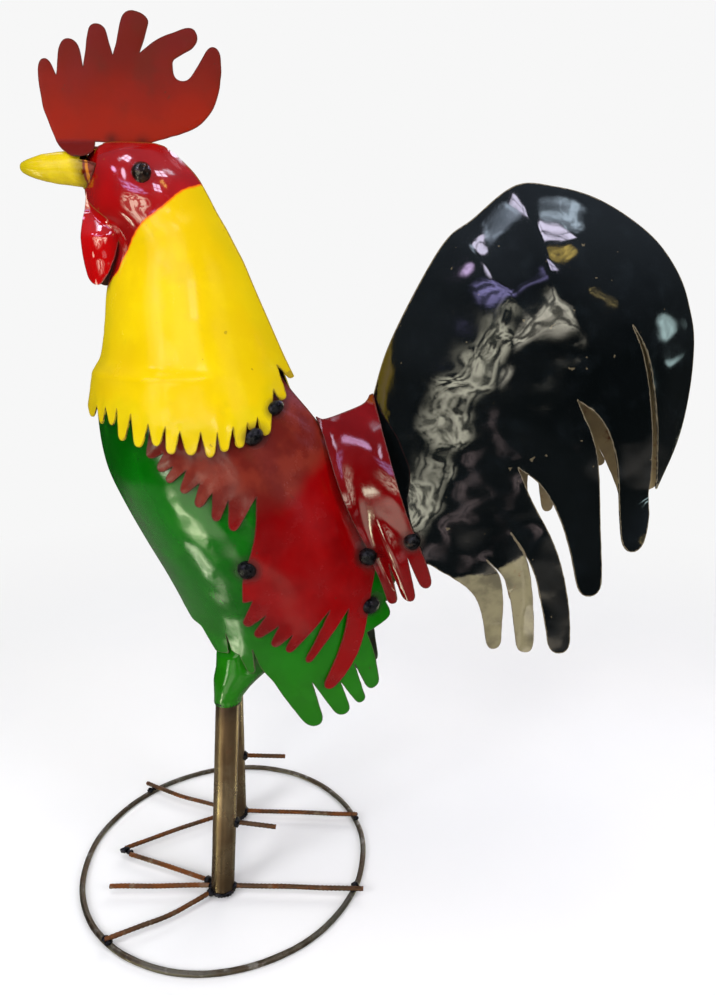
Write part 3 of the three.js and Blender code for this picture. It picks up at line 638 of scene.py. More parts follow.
class Mat:
    """A node material put together from a few short calls; coordinates are the object's own, in metres."""

    def __init__(self, name, **fixed):
        self.m = bpy.data.materials.new(name)
        self.m.use_nodes = True
        self.t = self.m.node_tree
        self.t.nodes.clear()
        self.out = self.t.nodes.new("ShaderNodeOutputMaterial")
        self.b = self.t.nodes.new("ShaderNodeBsdfPrincipled")
        self.link(self.b.outputs[0], self.out.inputs[0])
        self.co = self.t.nodes.new("ShaderNodeTexCoord").outputs["Object"]
        for k, v in fixed.items():
            self.b.inputs[k.replace("_", " ")].default_value = v

    def link(self, a, b):
        self.t.links.new(a, b)

    def put(self, socket, v):
        if hasattr(v, "is_linked"):
            self.link(v, socket)
        else:
            socket.default_value = v

    def math(self, op, a, b=0.0, clamp=False):
        n = self.t.nodes.new("ShaderNodeMath")
        n.operation = op
        n.use_clamp = clamp
        self.put(n.inputs[0], a)
        self.put(n.inputs[1], b)
        return n.outputs[0]

    def add(self, a, b, clamp=False):
        return self.math("ADD", a, b, clamp)

    def sub(self, a, b):
        return self.math("SUBTRACT", a, b)

    def mul(self, a, b, clamp=False):
        return self.math("MULTIPLY", a, b, clamp)

    def ragged(self, a, grain, by):
        """A value made uneven by a noise on both sides of it."""
        return self.add(a, self.mul(self.sub(grain, 0.5), by))

    def stain(self, under, fac, much, color):
        return self.mix(self.mul(fac, much), under, color)

    def noise(self, scale, detail=3.0, rough=0.55, stretch=None, offset=(0, 0, 0)):
        n = self.t.nodes.new("ShaderNodeTexNoise")
        n.inputs["Scale"].default_value = scale
        n.inputs["Detail"].default_value = detail
        n.inputs["Roughness"].default_value = rough
        co = self.co
        if stretch or offset != (0, 0, 0):
            mp = self.t.nodes.new("ShaderNodeMapping")
            mp.inputs["Scale"].default_value = stretch or (1, 1, 1)
            mp.inputs["Location"].default_value = offset
            self.link(self.co, mp.inputs["Vector"])
            co = mp.outputs[0]
        self.link(co, n.inputs["Vector"])
        return n.outputs[0]

    def voronoi(self, scale, feature):
        n = self.t.nodes.new("ShaderNodeTexVoronoi")
        n.feature = feature
        n.inputs["Scale"].default_value = scale
        self.link(self.co, n.inputs["Vector"])
        return n.outputs[0]

    def attr(self, name):
        n = self.t.nodes.new("ShaderNodeAttribute")
        n.attribute_name = name
        return n.outputs["Fac"]

    def ramp(self, x, lo, hi, a=0.0, b=1.0):
        """From a to b, softly, while x goes from lo to hi."""
        n = self.t.nodes.new("ShaderNodeMapRange")
        n.interpolation_type = "SMOOTHSTEP"
        n.clamp = True
        self.put(n.inputs[0], x)
        for k, v in zip((1, 2, 3, 4), (lo, hi, a, b)):
            n.inputs[k].default_value = v
        return n.outputs[0]

    def mix(self, f, a, b):
        n = self.t.nodes.new("ShaderNodeMix")
        n.data_type = "RGBA"
        self.put(n.inputs[0], f)
        self.put(n.inputs[6], a)
        self.put(n.inputs[7], b)
        return n.outputs[2]

    def axis(self, k):
        n = self.t.nodes.new("ShaderNodeSeparateXYZ")
        self.link(self.co, n.inputs[0])
        return n.outputs[k]

    def bump(self, height, strength, distance, normal=None):
        n = self.t.nodes.new("ShaderNodeBump")
        n.inputs["Strength"].default_value = strength
        n.inputs["Distance"].default_value = distance
        self.link(height, n.inputs["Height"])
        if normal is not None:
            self.link(normal, n.inputs["Normal"])
        return n.outputs[0]

    def done(self, color=None, rough=None, metal=None, normal=None):
        for key, v in (("Base Color", color), ("Roughness", rough), ("Metallic", metal), ("Normal", normal)):
            if v is not None:
                self.put(self.b.inputs[key], v)
        return self.m


def enamel(name, main, dark, light, rough=(0.07, 0.2), chip=lin(60, 40, 28), chips=0.5, seed=0.0,
           extra=None, coat=0.35, hammer=0.0, dust=0.35, ior=1.5, coat_ior=None, ripple=0.05):
    """Brushed gloss enamel on hand-beaten sheet: uneven coats, runs, dust in the paint, chipped cut edges."""
    m = Mat(name, Coat_Weight=coat, Coat_Roughness=0.04, Coat_IOR=coat_ior or ior, IOR=ior)
    off = (seed, seed * 0.7, seed * 1.3)
    big = m.noise(9, 4, 0.55, offset=off)
    mid = m.noise(38, 4, 0.6, offset=off)
    fine = m.noise(420, 2, 0.5, offset=off)
    runs = m.noise(70, 3, 0.5, stretch=(1.0, 1.0, 0.16), offset=off)
    col = m.mix(m.ramp(big, 0.36, 0.66), main, dark)
    col = m.stain(col, m.ramp(mid, 0.5, 0.75), 0.45, light)
    col = m.stain(col, m.ramp(runs, 0.55, 0.78), 0.25, dark)
    if extra:
        col = extra(m, col)
    # welds scorch the paint round them
    scorch = m.mul(m.attr("burn"), m.ramp(mid, 0.3, 0.62, 0.35, 1.0), clamp=True)
    col = m.stain(col, scorch, 0.85, lin(34, 22, 18))
    # cut edges: thin paint, chipped in places
    e = m.attr("edge")
    ragged = m.add(e, m.mul(m.noise(260, 3, 0.6, offset=off), -2.2))
    worn = m.ramp(ragged, -0.75, 0.05, 1.0, 0.0)
    col = m.stain(col, worn, chips, chip)
    # specks where the coat has flaked
    spots = m.ramp(m.noise(115, 2, 0.5, offset=(seed + 3, 1, 2)), 0.735, 0.76)
    col = m.stain(col, spots, 0.5, chip)
    r = m.ramp(m.noise(26, 4, 0.65, offset=off), 0.35, 0.7, rough[0], rough[1])
    r = m.add(r, m.mul(m.math("MAXIMUM", scorch, worn), 0.35), clamp=True)
    r = m.add(r, m.mul(m.ramp(fine, 0.6, 0.8), 0.12 * dust), clamp=True)
    nrm = m.bump(m.noise(130, 2, 0.5, offset=off), ripple, 0.002)
    nrm = m.bump(fine, 0.02, 0.0006, nrm)
    if hammer:
        nrm = m.bump(m.voronoi(58, "SMOOTH_F1"), hammer, 0.004, nrm)
    return m.done(col, r, 0.0, nrm)


def bare_inside(name, a, b, rust, seed=0.0):
    m = Mat(name)
    big = m.noise(12, 5, 0.6, offset=(seed, 0, seed))
    mid = m.noise(55, 5, 0.65, offset=(seed, 2, 0))
    col = m.mix(m.ramp(big, 0.38, 0.64), a, b)
    r = m.ramp(mid, 0.56, 0.7)
    col = m.stain(col, r, rust, lin(104, 56, 28))
    rr = m.ramp(mid, 0.3, 0.7, 0.48, 0.78)
    nrm = m.bump(m.noise(300, 3, 0.6), 0.15, 0.0008)
    return m.done(col, rr, 0.0, nrm)


def cut_edge(name, paint, bare=lin(92, 72, 58)):
    m = Mat(name)
    n = m.noise(180, 4, 0.6)
    col = m.mix(m.ramp(n, 0.45, 0.62), paint, bare)
    return m.done(col, m.ramp(n, 0.3, 0.7, 0.35, 0.6), m.ramp(n, 0.52, 0.62, 0.0, 0.7))


def head_colours(m, col):
    line = m.ragged(m.attr("red"), m.noise(90, 4, 0.6), 3.2)
    red = m.mix(m.ramp(m.noise(14, 3), 0.35, 0.7), lin(166, 0, 2), lin(132, 0, 2))
    # darker towards the beak and the crown
    x = m.axis(0)
    front = m.ramp(m.add(x, m.mul(m.noise(20, 2), 0.02)), CX - 0.082, CX - 0.045, 1, 0)
    red = m.stain(red, front, 0.6, lin(110, 12, 8))
    # a little orange where the red thins out over the yellow
    col = m.mix(m.ramp(line, -2.6, -0.2), col, lin(228, 96, 10))
    return m.mix(m.ramp(line, -0.45, 0.35), col, red)


def yellow_stains(m, col):
    z = m.axis(2)
    e = m.attr("edge")
    n = m.noise(30, 4, 0.6, offset=(4, 4, 4))
    green = m.mul(m.ramp(m.add(e, m.mul(n, -22)), -9, 6, 1, 0), 0.35)
    col = m.mix(green, col, lin(190, 178, 10))
    low = m.ramp(z, 0.50, 0.545, 1, 0)
    col = m.stain(col, low, m.ramp(n, 0.4, 0.65, 0.05, 0.45), lin(176, 148, 30))
    m.put(m.b.inputs["Coat Weight"], m.ramp(m.attr("red"), -1.0, 1.0, 0.06, 1.0))
    blotch = m.ramp(m.noise(17, 5, 0.65, offset=(9, 1, 5)), 0.6, 0.72)
    col = m.stain(col, blotch, 0.22, lin(170, 152, 24))
    return head_colours(m, col)


def green_belly(m, col):
    z = m.axis(2)
    n = m.noise(16, 4, 0.6)
    low = m.ramp(m.add(z, m.mul(n, 0.06)), 0.26, 0.42, 1, 0)
    return m.stain(col, low, 0.3, lin(48, 136, 10))


def wing_shoulder(m, col):
    s = m.attr("shoulder")
    n = m.noise(22, 4, 0.6)
    f = m.ramp(m.ragged(s, n, 26), -14, 16)
    brown = m.mix(m.ramp(m.noise(40, 3), 0.4, 0.65), lin(92, 30, 22), lin(116, 44, 30))
    return m.stain(col, f, 0.8, brown)


def tail_painted_reflection(m, col):
    # painted reflection: the beige ends of the two lowest fingers stand for the pale ground mirrored where
    # they bend below their creases; rust spots are painted over it
    s = m.attr("painted_reflection")
    n = m.noise(75, 4, 0.6)
    f = m.ramp(m.ragged(s, n, 9), -2, 2)
    beige = m.mix(m.ramp(m.noise(28, 4), 0.4, 0.65), lin(132, 124, 94), lin(92, 86, 66))
    rust = m.ramp(m.noise(48, 5, 0.7, offset=(2, 8, 1)), 0.62, 0.7)
    beige = m.stain(beige, rust, 0.8, lin(112, 66, 34))
    return m.mix(f, col, beige)


mat_neck = enamel("neck_enamel", lin(220, 188, 0), lin(212, 176, 0), lin(228, 198, 0), chip=lin(120, 88, 20),
                  chips=0.55, seed=1.0, extra=yellow_stains, rough=(0.16, 0.28), dust=0.3, coat=0.1, ior=1.35,
                  coat_ior=2.0, ripple=0.025)
mat_red = enamel("head_enamel", lin(182, 0, 2), lin(140, 0, 2), lin(200, 8, 8), seed=2.0,
                 rough=(0.03, 0.08), coat=0.9, ior=1.9)
mat_green = enamel("body_enamel", lin(0, 98, 1), lin(0, 76, 0), lin(18, 112, 3), seed=3.0, hammer=0.12,
                   extra=green_belly, rough=(0.12, 0.22), chips=0.6)
mat_wing = enamel("wing_enamel", lin(128, 0, 2), lin(100, 0, 2), lin(142, 3, 5), seed=4.0,
                  extra=wing_shoulder, rough=(0.16, 0.3), coat=0.15, ior=1.4)
mat_saddle = enamel("saddle_enamel", lin(104, 0, 2), lin(84, 0, 2), lin(122, 2, 8), seed=5.0,
                    rough=(0.06, 0.14), ior=1.6)
# the tail enamel paints the beige reflection on the two lowest fingers of the near half
mat_tail = enamel("tail_enamel", lin(9, 12, 13), lin(3, 5, 6), lin(20, 25, 28), seed=6.0, extra=tail_painted_reflection,
                  rough=(0.05, 0.12), chip=lin(120, 108, 84), chips=0.75, hammer=0.1, coat=0.7,
                  ior=1.65, ripple=0.02)
in_dark = bare_inside("inside_dark", lin(30, 25, 20), lin(14, 11, 9), 0.25)
in_green = bare_inside("inside_green", lin(14, 34, 12), lin(8, 14, 7), 0.2)
in_red = bare_inside("inside_red", lin(48, 12, 10), lin(22, 8, 7), 0.25)
in_tail = bare_inside("inside_primer", lin(172, 152, 112), lin(128, 114, 84), 0.9, seed=3.0)
edge_yellow = cut_edge("cut_edge_yellow", lin(196, 170, 8))
edge_green = cut_edge("cut_edge_green", lin(10, 70, 8))
edge_red = cut_edge("cut_edge_red", lin(110, 8, 8))
edge_black = cut_edge("cut_edge_black", lin(22, 22, 22), lin(150, 138, 112))


def comb_colours(m, col):
    z = m.axis(2)
    n = m.noise(24, 4, 0.6)
    zz = m.ragged(z, n, 0.05)
    up = m.ramp(zz, 0.782, 0.852)
    col = m.mix(up, lin(128, 20, 0), lin(92, 16, 6))
    brown = m.ramp(m.noise(30, 4, 0.6, offset=(5, 5, 0)), 0.5, 0.68)
    col = m.stain(col, brown, m.ramp(zz, 0.79, 0.84, 0.1, 0.65), lin(84, 24, 12))
    lobe = m.mul(m.ramp(z, 0.774, 0.779, 1, 0), m.ramp(m.axis(0), CX - 0.075, CX - 0.066, 1, 0))
    return m.stain(col, lobe, 0.85, lin(84, 16, 14))


mat_comb = enamel("comb_enamel", lin(190, 26, 12), lin(150, 16, 10), lin(206, 52, 22), seed=7.0,
                  extra=comb_colours, rough=(0.3, 0.42), chips=0.4, coat=0.0, ior=1.25)


def beak_stains(m, col):
    x = m.axis(0)
    n = m.noise(60, 4, 0.6)
    root = m.ramp(m.add(x, m.mul(n, 0.012)), CX - 0.094, CX - 0.080)
    col = m.stain(col, root, 0.75, lin(96, 66, 10))
    wavy = m.ragged(x, n, 0.004)
    col = m.mix(m.ramp(wavy, CX - 0.0868, CX - 0.0856), col, lin(104, 30, 14))
    strip = m.mul(m.ramp(wavy, CX - 0.0842, CX - 0.0836), m.ramp(wavy, CX - 0.0816, CX - 0.081, 1, 0))
    col = m.stain(col, strip, 0.8, lin(196, 120, 14))
    tip = m.ramp(m.add(x, m.mul(n, 0.02)), CX - 0.136, CX - 0.116, 1, 0)
    return m.stain(col, tip, 0.5, lin(150, 140, 12))


mat_beak = enamel("beak_enamel", lin(222, 196, 2), lin(196, 170, 2), lin(232, 208, 12), seed=8.0,
                  extra=beak_stains, rough=(0.16, 0.3), chips=0.3, ior=1.4, coat=0.2)


def weld_metal():
    m = Mat("weld_metal")
    n = m.noise(160, 5, 0.65)
    ring = m.noise(520, 2, 0.5)
    col = m.mix(m.ramp(n, 0.38, 0.66), lin(24, 25, 27), lin(66, 66, 68))
    col = m.stain(col, m.ramp(m.noise(90, 3), 0.62, 0.74), 0.5, lin(96, 62, 44))
    nrm = m.bump(n, 0.35, 0.0012)
    nrm = m.bump(ring, 0.25, 0.0004, nrm)
    return m.done(col, m.ramp(n, 0.3, 0.7, 0.18, 0.5), 0.85, nrm)


def rod_metal(name, one, two, dark, bright):
    m = Mat(name)
    a = m.noise(22, 5, 0.65)
    b = m.noise(150, 5, 0.7)
    col = m.mix(m.ramp(a, 0.4, 0.6), one, two)
    col = m.mix(m.ramp(b, 0.54, 0.68), col, dark)
    worn = m.ramp(m.noise(85, 3, 0.5, offset=(3, 3, 3)), 0.56, 0.7)
    col = m.stain(col, worn, 0.55, bright)
    nrm = m.bump(b, 0.3, 0.0008)
    return m.done(col, m.ramp(b, 0.35, 0.7, 0.3, 0.62), m.ramp(b, 0.45, 0.65, 0.9, 0.45), nrm)


def tube_metal():
    m = Mat("tube_steel")
    a = m.noise(15, 4, 0.6)
    draw = m.noise(90, 3, 0.5, stretch=(1, 1, 0.04))
    b = m.noise(210, 4, 0.7)
    col = m.mix(m.ramp(a, 0.35, 0.66), lin(176, 156, 120), lin(128, 104, 74))
    col = m.stain(col, m.ramp(draw, 0.45, 0.68), 0.45, lin(78, 60, 42))
    rust = m.ramp(m.noise(58, 5, 0.7, offset=(1, 7, 3)), 0.6, 0.7)
    col = m.stain(col, rust, 0.7, lin(110, 60, 32))
    z = m.axis(2)
    heat = m.ramp(m.add(z, m.mul(a, 0.05)), 0.03, 0.15, 1, 0)
    col = m.stain(col, heat, 0.7, lin(62, 46, 28))
    top = m.ramp(m.add(z, m.mul(a, 0.02)), 0.215, 0.236)
    col = m.stain(col, top, 0.7, lin(58, 42, 38))
    nrm = m.bump(draw, 0.08, 0.0006)
    nrm = m.bump(b, 0.12, 0.0004, nrm)
    return m.done(col, m.ramp(a, 0.3, 0.7, 0.2, 0.34), m.ramp(rust, 0.0, 1.0, 0.8, 0.4), nrm)


mat_weld = weld_metal()
mat_rod = rod_metal("toe_steel", lin(104, 80, 58), lin(140, 84, 42), lin(74, 46, 30), lin(158, 140, 112))
mat_ring = rod_metal("ring_steel", lin(118, 114, 98), lin(96, 84, 66), lin(74, 56, 42), lin(178, 176, 164))
mat_tube = tube_metal()


# The formed sheets
def hand(side):
    """The same beating runs through all the layers of one side, so that they stay in contact."""
    return 11.0 if side < 0 else 51.0


def frayed(lift, reach, seed, size=34.0):
    """The cut edge stands off a little, by a different amount from tooth to tooth."""

    def f(x, z, edge):
        own = np.clip(0.55 + 0.9 * noise_at(x, z, size, seed, 1), 0.1, 1.3)
        return lift * own * np.exp(-edge / reach)

    return f


def shoulder(x, z):
    return (z - 446) - 0.16 * (x - 40) - np.maximum(0, x - 96) * 0.9


for word, side in SIDES:
    sheet("body_" + word, body_form, body_line, [mat_green, in_green, edge_green],
          side, PITCH, hand(side), frayed(0.6 if side < 0 else 0.0, 6, 21), [("burn", burn)],
          cut=1)
    sheet("wing_" + word, wing_in, wing_line, [mat_wing, in_dark, edge_red],
          side, PITCH, hand(side), frayed(2.4, 7, 22), [("burn", burn), ("shoulder", shoulder)],
          fade=body_form, cut=2)
    sheet("saddle_" + word, saddle_in, saddle_line, [mat_saddle, in_dark, edge_red],
          side, PITCH, hand(side), frayed(1.6, 8, 23), [("burn", burn)], fade=body_form,
          cut=3)


def fringe(x, z, edge):
    low = np.clip((585 - z) / 45, 0, 1)
    return low * frayed(3.4, 9, 24, 22.0)(x, z, edge)


for word, side in SIDES:
    sheet("neck_" + word, neck_in, neck_line, [mat_neck, in_dark, edge_yellow],
          side, PITCH * 0.85, hand(side), fringe, [("burn", burn), ("red", red_side)],
          dent=0.7, cut=4)


def split(z):
    """Where one tail finger ends and the next begins, along the height."""
    return np.where(z < 370, 307.0, 307 - (z - 370) * 25 / 21)


def below(x, z, p, q):
    """Distance below the line from p to q."""
    ux, uz = q[0] - p[0], q[1] - p[1]
    long = math.hypot(ux, uz)
    return (uz * (x - p[0]) - ux * (z - p[1])) / long


def painted_reflection(x, z):
    """Depth into the beige ends of the two lowest fingers, a painted reflection of the pale ground below
    their creases.
    """
    a = below(x, z, (252.2, 372.7), (290.3, 376.9))
    b = below(x, z, (293.9, 382.2), (314.1, 394.7))
    out = np.where(x < split(z), a, b)
    right = np.interp(z, [290, 340, 370, 400, 419], [337, 338, 328, 318, 304])
    return np.clip(np.minimum(out, 4 * (right - x)), -20, 60)


def no_painted_reflection(x, z):
    return np.full_like(x, -20.0)


def near_fingers(x, z, edge):
    bend = np.maximum(painted_reflection(x, z), 0)
    out = bend * np.where(x < split(z), -0.22, -0.1)
    # the larger fingers curl gently, each its own way
    low = np.clip((430 - z) / 140, 0, 1) ** 2
    out = out + low * 9 * noise_at(x, z * 0.2, 60, 71, 1)
    return out + frayed(1.2, 6, 25)(x, z, edge)


def far_fingers(x, z, edge):
    low = np.clip((430 - z) / 140, 0, 1) ** 2
    return low * 10 * noise_at(x, z * 0.2, 60, 91, 1) + frayed(1.0, 6, 26)(x, z, edge)


# the near half carries the painted reflection on its two lowest fingers; the far half has none
for word, side in SIDES:
    near = side < 0
    sheet("tail_" + word, tail_form, tail_line if near else tail_right_line,
          [mat_tail, in_tail, edge_black], side, PITCH, hand(side),
          near_fingers if near else far_fingers,
          [("burn", burn), ("painted_reflection", painted_reflection if near else no_painted_reflection)], cut=5)


# Comb, wattles and beak
COMB_THICK = 1.6


def comb_plate():
    """A flat cut plate with its front lobe beaten over."""
    poly = outline(comb_line, steps=6, pitch=2.6 * 0.8, rough=0.35, seed=6.0)
    flat, faces = triangulate(poly, 2.6)
    x, z = flat[:, 0], flat[:, 1]
    edge = edge_distance(poly, flat)
    y, bent_z = comb_bend(x, z)
    mid = np.stack([x, y, bent_z], 1)
    faces, n = skin(mid, faces, -1)
    # a cut edge that has been dressed with a file
    half = n * (COMB_THICK / 2 - np.where(edge < 0.5, 0.3, 0.0)[:, None])
    tri, rim = two_skins(faces, len(mid))
    me = mesh_from("comb", place(np.vstack([mid + half, mid - half])), tri + rim,
                   [0] * len(tri) + [1] * len(rim))
    for key, v in (("edge", edge), ("burn", comb_burn(x, z))):
        add_attribute(me, key, np.concatenate([v, v]))
    finish_piece("comb", me, "comb", [mat_comb, edge_red])


def comb_burn(x, z):
    """The comb is tacked to the head at two places."""
    out = np.zeros_like(x)
    for wx, wz in ((-62, 770), (-34, 769)):
        out = np.maximum(out, np.clip(1 - np.hypot(x - wx, z - wz) / 9, 0, 1))
    return out


comb_line = [
    (-112, 769.5), (-121, 797, 8), (-122, 826, 6), T(-115, 835, 7), (-106, 822), T(-92, 850, 16),
    (-82, 828), (-77, 846, 6), T(-67, 861, 13), (-58, 850, 4), (-55, 837), (-50, 850, 8),
    T(-32, 870, 22), (-24, 856, 8), (-32, 839), (-16, 850, 8), T(18, 854, 12), (14, 842, 4),
    (-4, 833, 3), (-4, 819, 8), (8, 816, 8), (22, 834, 6), T(33, 843, 9), (39, 826, ROUND),
    (33, 799, ROUND), (16, 780, ROUND), (-14, 772, ROUND), (-30, 768.3), (-60, 768.3), (-77.5, 769.5),
    (-76, 754, 8), (-92, 746, 9), (-106, 760, 5),
]


def comb_bend(x, z):
    wave = 1.1 * noise_at(x, z, 40, 5, 2)
    up = np.clip((z - 775) / 90, 0, 1)
    y = wave * (0.25 + up)
    # the front lobe is beaten over to the left
    s = np.clip(LOBE_Z - z, 0, None) * (x < -60)
    turn = math.radians(48)
    soft = 4.0
    k = np.clip(s / soft, 0, 1)
    over_y = np.where(s < soft, soft * turn * k * k / 2, soft * turn / 2 + (s - soft) * math.sin(turn))
    over_z = np.where(s < soft, s - soft * turn * turn * k**3 / 6,
                      soft * (1 - turn * turn / 6) + (s - soft) * math.cos(turn))
    return y - over_y, np.where(s > 0, LOBE_Z - over_z, z)


comb_plate()

wattle_line = [
    (-89, 729), (-95, 700, ROUND), (-97, 672, ROUND), (-92, 650, 8), (-82, 646, 6), (-70, 660, ROUND),
    (-61, 688, ROUND), (-58, 705, 6), (-72, 717),
]


def wattle_form(x, z):
    out = 16 - (x + 78) ** 2 / 40 - (z - 692) ** 2 / 260 + np.clip(670 - z, 0, None) / 6
    under = neck_in(x, z) - 2.2
    high = np.clip((z - 690) / 22, 0, 1)
    return out * (1 - high) + np.minimum(out, np.maximum(under, 2)) * high


for word, side in SIDES:
    sheet("wattle_" + word, wattle_form, wattle_line, [mat_red, in_red, edge_red],
          side, 2.6, 33.0 if side < 0 else 61.0, None, [("burn", burn)], seam=False,
          dent=0.5, cut=7)


def grid_faces(rows, cols, base=0, closed=False):
    """Quads between rings of points; closed joins the last ring to the first."""
    out = []
    for i in range(rows if closed else rows - 1):
        a, b = base + i * cols, base + (i + 1) % rows * cols
        for j in range(cols):
            k = (j + 1) % cols
            out.append((a + j, a + k, b + k, b + j))
    return out


def turn_out(me, merge=0.0):
    """All faces outward, after points closer than merge have become one."""
    bm = bmesh.new()
    bm.from_mesh(me)
    if merge:
        bmesh.ops.remove_doubles(bm, verts=bm.verts[:], dist=merge)
    bmesh.ops.recalc_face_normals(bm, faces=bm.faces[:])
    bm.to_mesh(me)
    bm.free()


def beak():
    """A cone rolled from sheet, its root trimmed to the head."""
    cols, rows = 64, 48
    hs = [0, 0.3, 0.8, 2.2, 4, 7.5, 12, 22, 36, 62, 76]
    rs = [0, 1.7, 2.9, 4.4, 5.4, 7.1, 8.6, 11.3, 13.4, 16.2, 17.2]

    def at(t, q, off):
        h = BEAK_LONG * t
        r = max(float(np.interp(h, hs, rs)) + off, 0.01)
        return BEAK_TIP + np.array([h, 0.85 * r * math.cos(q), r * math.sin(q) - 0.8 * t])

    ts = np.linspace(0.3, 1.2, 300)
    ends = []
    for j in range(cols):
        q = 2 * math.pi * j / cols
        p = np.array([at(t, q, 0) for t in ts])
        hit = (p[:, 0] > -98) & (np.abs(p[:, 1]) < neck_out(p[:, 0], p[:, 2]) + 0.3)
        ends.append(ts[hit.argmax()] if hit.any() else 0.94)
    ends = np.array(ends)
    ends = np.minimum(ends, (np.roll(ends, 1) + np.roll(ends, -1)) / 2 + 0.02)
    pts = []
    for off in (0.0, -SHEET):
        for i in range(rows):
            for j in range(cols):
                q = 2 * math.pi * j / cols
                t = ends[j] * (i / (rows - 1)) ** 1.7
                p = at(t, q, off if i else min(off, 0))
                w = 0.35 * drift(*(p * 0.09))
                p[1] += w * math.cos(q)
                p[2] += w * math.sin(q)
                if off:
                    p[0] += 1.0 * (1 - i / (rows - 1))
                pts.append(p)
    faces = [f[::-1] for f in grid_faces(rows, cols)]
    faces += grid_faces(rows, cols, rows * cols)
    last = (rows - 1) * cols
    under = last + rows * cols
    rim = [(last + k, under + k, under + j, last + j) for j, k in zip(range(cols), [*range(1, cols), 0])]
    me = mesh_from("beak", place(np.array(pts)), faces + rim,
                   [0] * (len(faces) // 2) + [1] * (len(faces) // 2) + [2] * len(rim))
    turn_out(me, 2e-5)
    add_attribute(me, "edge", np.full(len(me.vertices), FAR_IN))
    add_attribute(me, "burn", np.zeros(len(me.vertices)))
    finish_piece("beak", me, "beak", [mat_beak, in_dark, edge_yellow], 50)
    return [at(ends[j], 2 * math.pi * j / cols, 0.5) for j in range(cols)]


beak_root = beak()


# Rods, tubes and welds
def resample(points, step, closed=False, soft=0.0):
    p = [np.array(q, float) for q in points]
    if soft and len(p) > 2:
        out = [p[0]]
        for a, b, c in zip(p[:-2], p[1:-1], p[2:]):
            f1 = b + unit(a - b) * soft
            f2 = b + unit(c - b) * soft
            for k in range(7):
                t = k / 6
                out.append((1 - t) ** 2 * f1 + 2 * t * (1 - t) * b + t * t * f2)
        out.append(p[-1])
        p = out
    if closed:
        p = p + [p[0]]
    p = np.array(p)
    seg = np.linalg.norm(np.diff(p, axis=0), axis=1)
    s = np.concatenate([[0], np.cumsum(seg)])
    n = max(2, int(s[-1] / step))
    q = np.linspace(0, s[-1], n + 1)
    if closed:
        q = q[:-1]
    return np.stack([np.interp(q, s, p[:, k]) for k in range(3)], 1), q


def sweep(points, step, sides, radius, closed=False, soft=0.0, wander=0.0, seed=0.0):
    """A bar along a path; radius(s, q) gives its shape along and round it."""
    path, s = resample(points, step, closed, soft)
    if wander:
        for i, p in enumerate(path):
            fade = 1.0 if closed else min(1, s[i] / 12, (s[-1] - s[i]) / 12)
            for k in range(3):
                amp = wander * (0.3 if k == 2 else 1.0) * fade
                path[i, k] += amp * drift(p[0] * 0.02, p[1] * 0.02, p[2] * 0.02 + seed + 9 * k)
    n = len(path)
    nxt = np.roll(path, -1, 0) if closed else np.vstack([path[1:], 2 * path[-1:] - path[-2:-1]])
    prv = np.roll(path, 1, 0) if closed else np.vstack([2 * path[:1] - path[1:2], path[:-1]])
    t = nxt - prv
    t /= np.linalg.norm(t, axis=1)[:, None]
    up = np.array([0, 0, 1.0]) if abs(t[0][2]) < 0.8 else np.array([1.0, 0, 0])
    pts = []
    for i in range(n):
        a = unit(np.cross(t[i], up))
        b = np.cross(a, t[i])
        for j in range(sides):
            q = 2 * math.pi * j / sides
            r = radius(s[i], q)
            pts.append(path[i] + r * (math.cos(q) * a + math.sin(q) * b))
    faces = grid_faces(n, sides, closed=closed)
    if not closed:
        for i, way in ((0, 1), (n - 1, -1)):
            c = len(pts)
            pts.append(path[i])
            for j in range(sides):
                f = (c, i * sides + j, i * sides + (j + 1) % sides)
                faces.append(f if way < 0 else f[::-1])
    return np.array(pts), faces


def closed_mesh(name, pts, faces, mats, node=None, angle=38.0, scorched=0.0):
    me = mesh_from(name, place(pts), faces)
    turn_out(me)
    add_attribute(me, "edge", np.full(len(me.vertices), FAR_IN))
    add_attribute(me, "burn", np.full(len(me.vertices), scorched))
    finish_piece(name, me, node, mats, angle)


def bar(r, seed, uneven=0.06):
    return lambda s, q: r * (1 + uneven * drift(s * 0.06, math.cos(q) * 0.6, seed))


def ribbed(r, seed):
    """Reinforcing bar: two rows of slanted ribs between two lengthwise ribs."""

    def f(s, q):
        side = math.cos(q)
        phase = (s + (3.0 if side > 0 else 1.0) + math.sin(q) * 2.4) / 4.6
        wave = 0.5 + 0.5 * math.cos(2 * math.pi * phase)
        rib = max(0.0, wave - 0.45) / 0.55 * abs(side) ** 0.6
        keel = math.exp(-((abs(abs(math.remainder(q, 2 * math.pi)) - math.pi / 2)) / 0.2) ** 2)
        wear = 0.75 + 0.5 * drift(s * 0.05, seed, 0)
        grain = 0.1 * drift(s * 0.3, math.cos(q) * 2, math.sin(q) * 2 + seed)
        return r - 0.42 + wear * 0.46 * max(rib, 0.55 * keel) + grain

    return f


def on_ring(bearing, past=0.0):
    a = math.radians(bearing)
    return ((RING_LONG + past) * math.cos(a), RING_SHIFT + (RING_WIDE + past) * math.sin(a))


hoop = [(*on_ring(a), FLOOR_Z + RING_ROD / 2) for a in np.linspace(0, 360, 97)[:-1]]
pts, faces = sweep(hoop, 2.6, 20, bar(RING_ROD / 2 - 0.08, 3.0, 0.05), closed=True, wander=1.3, seed=4)
pts[:, 2] = np.maximum(pts[:, 2], FLOOR_Z)
closed_mesh("base_ring", pts, faces, [mat_ring], "base_ring")

TOE_Z = FLOOR_Z + RING_ROD + GAP + TOE_ROD / 2


def on_axis(foot, hip, z):
    f = (z - LEG_FOOT_Z) / (LEG_TOP_Z - LEG_FOOT_Z)
    return np.array([foot[0] + (hip[0] - foot[0]) * f, foot[1] + (hip[1] - foot[1]) * f, z])


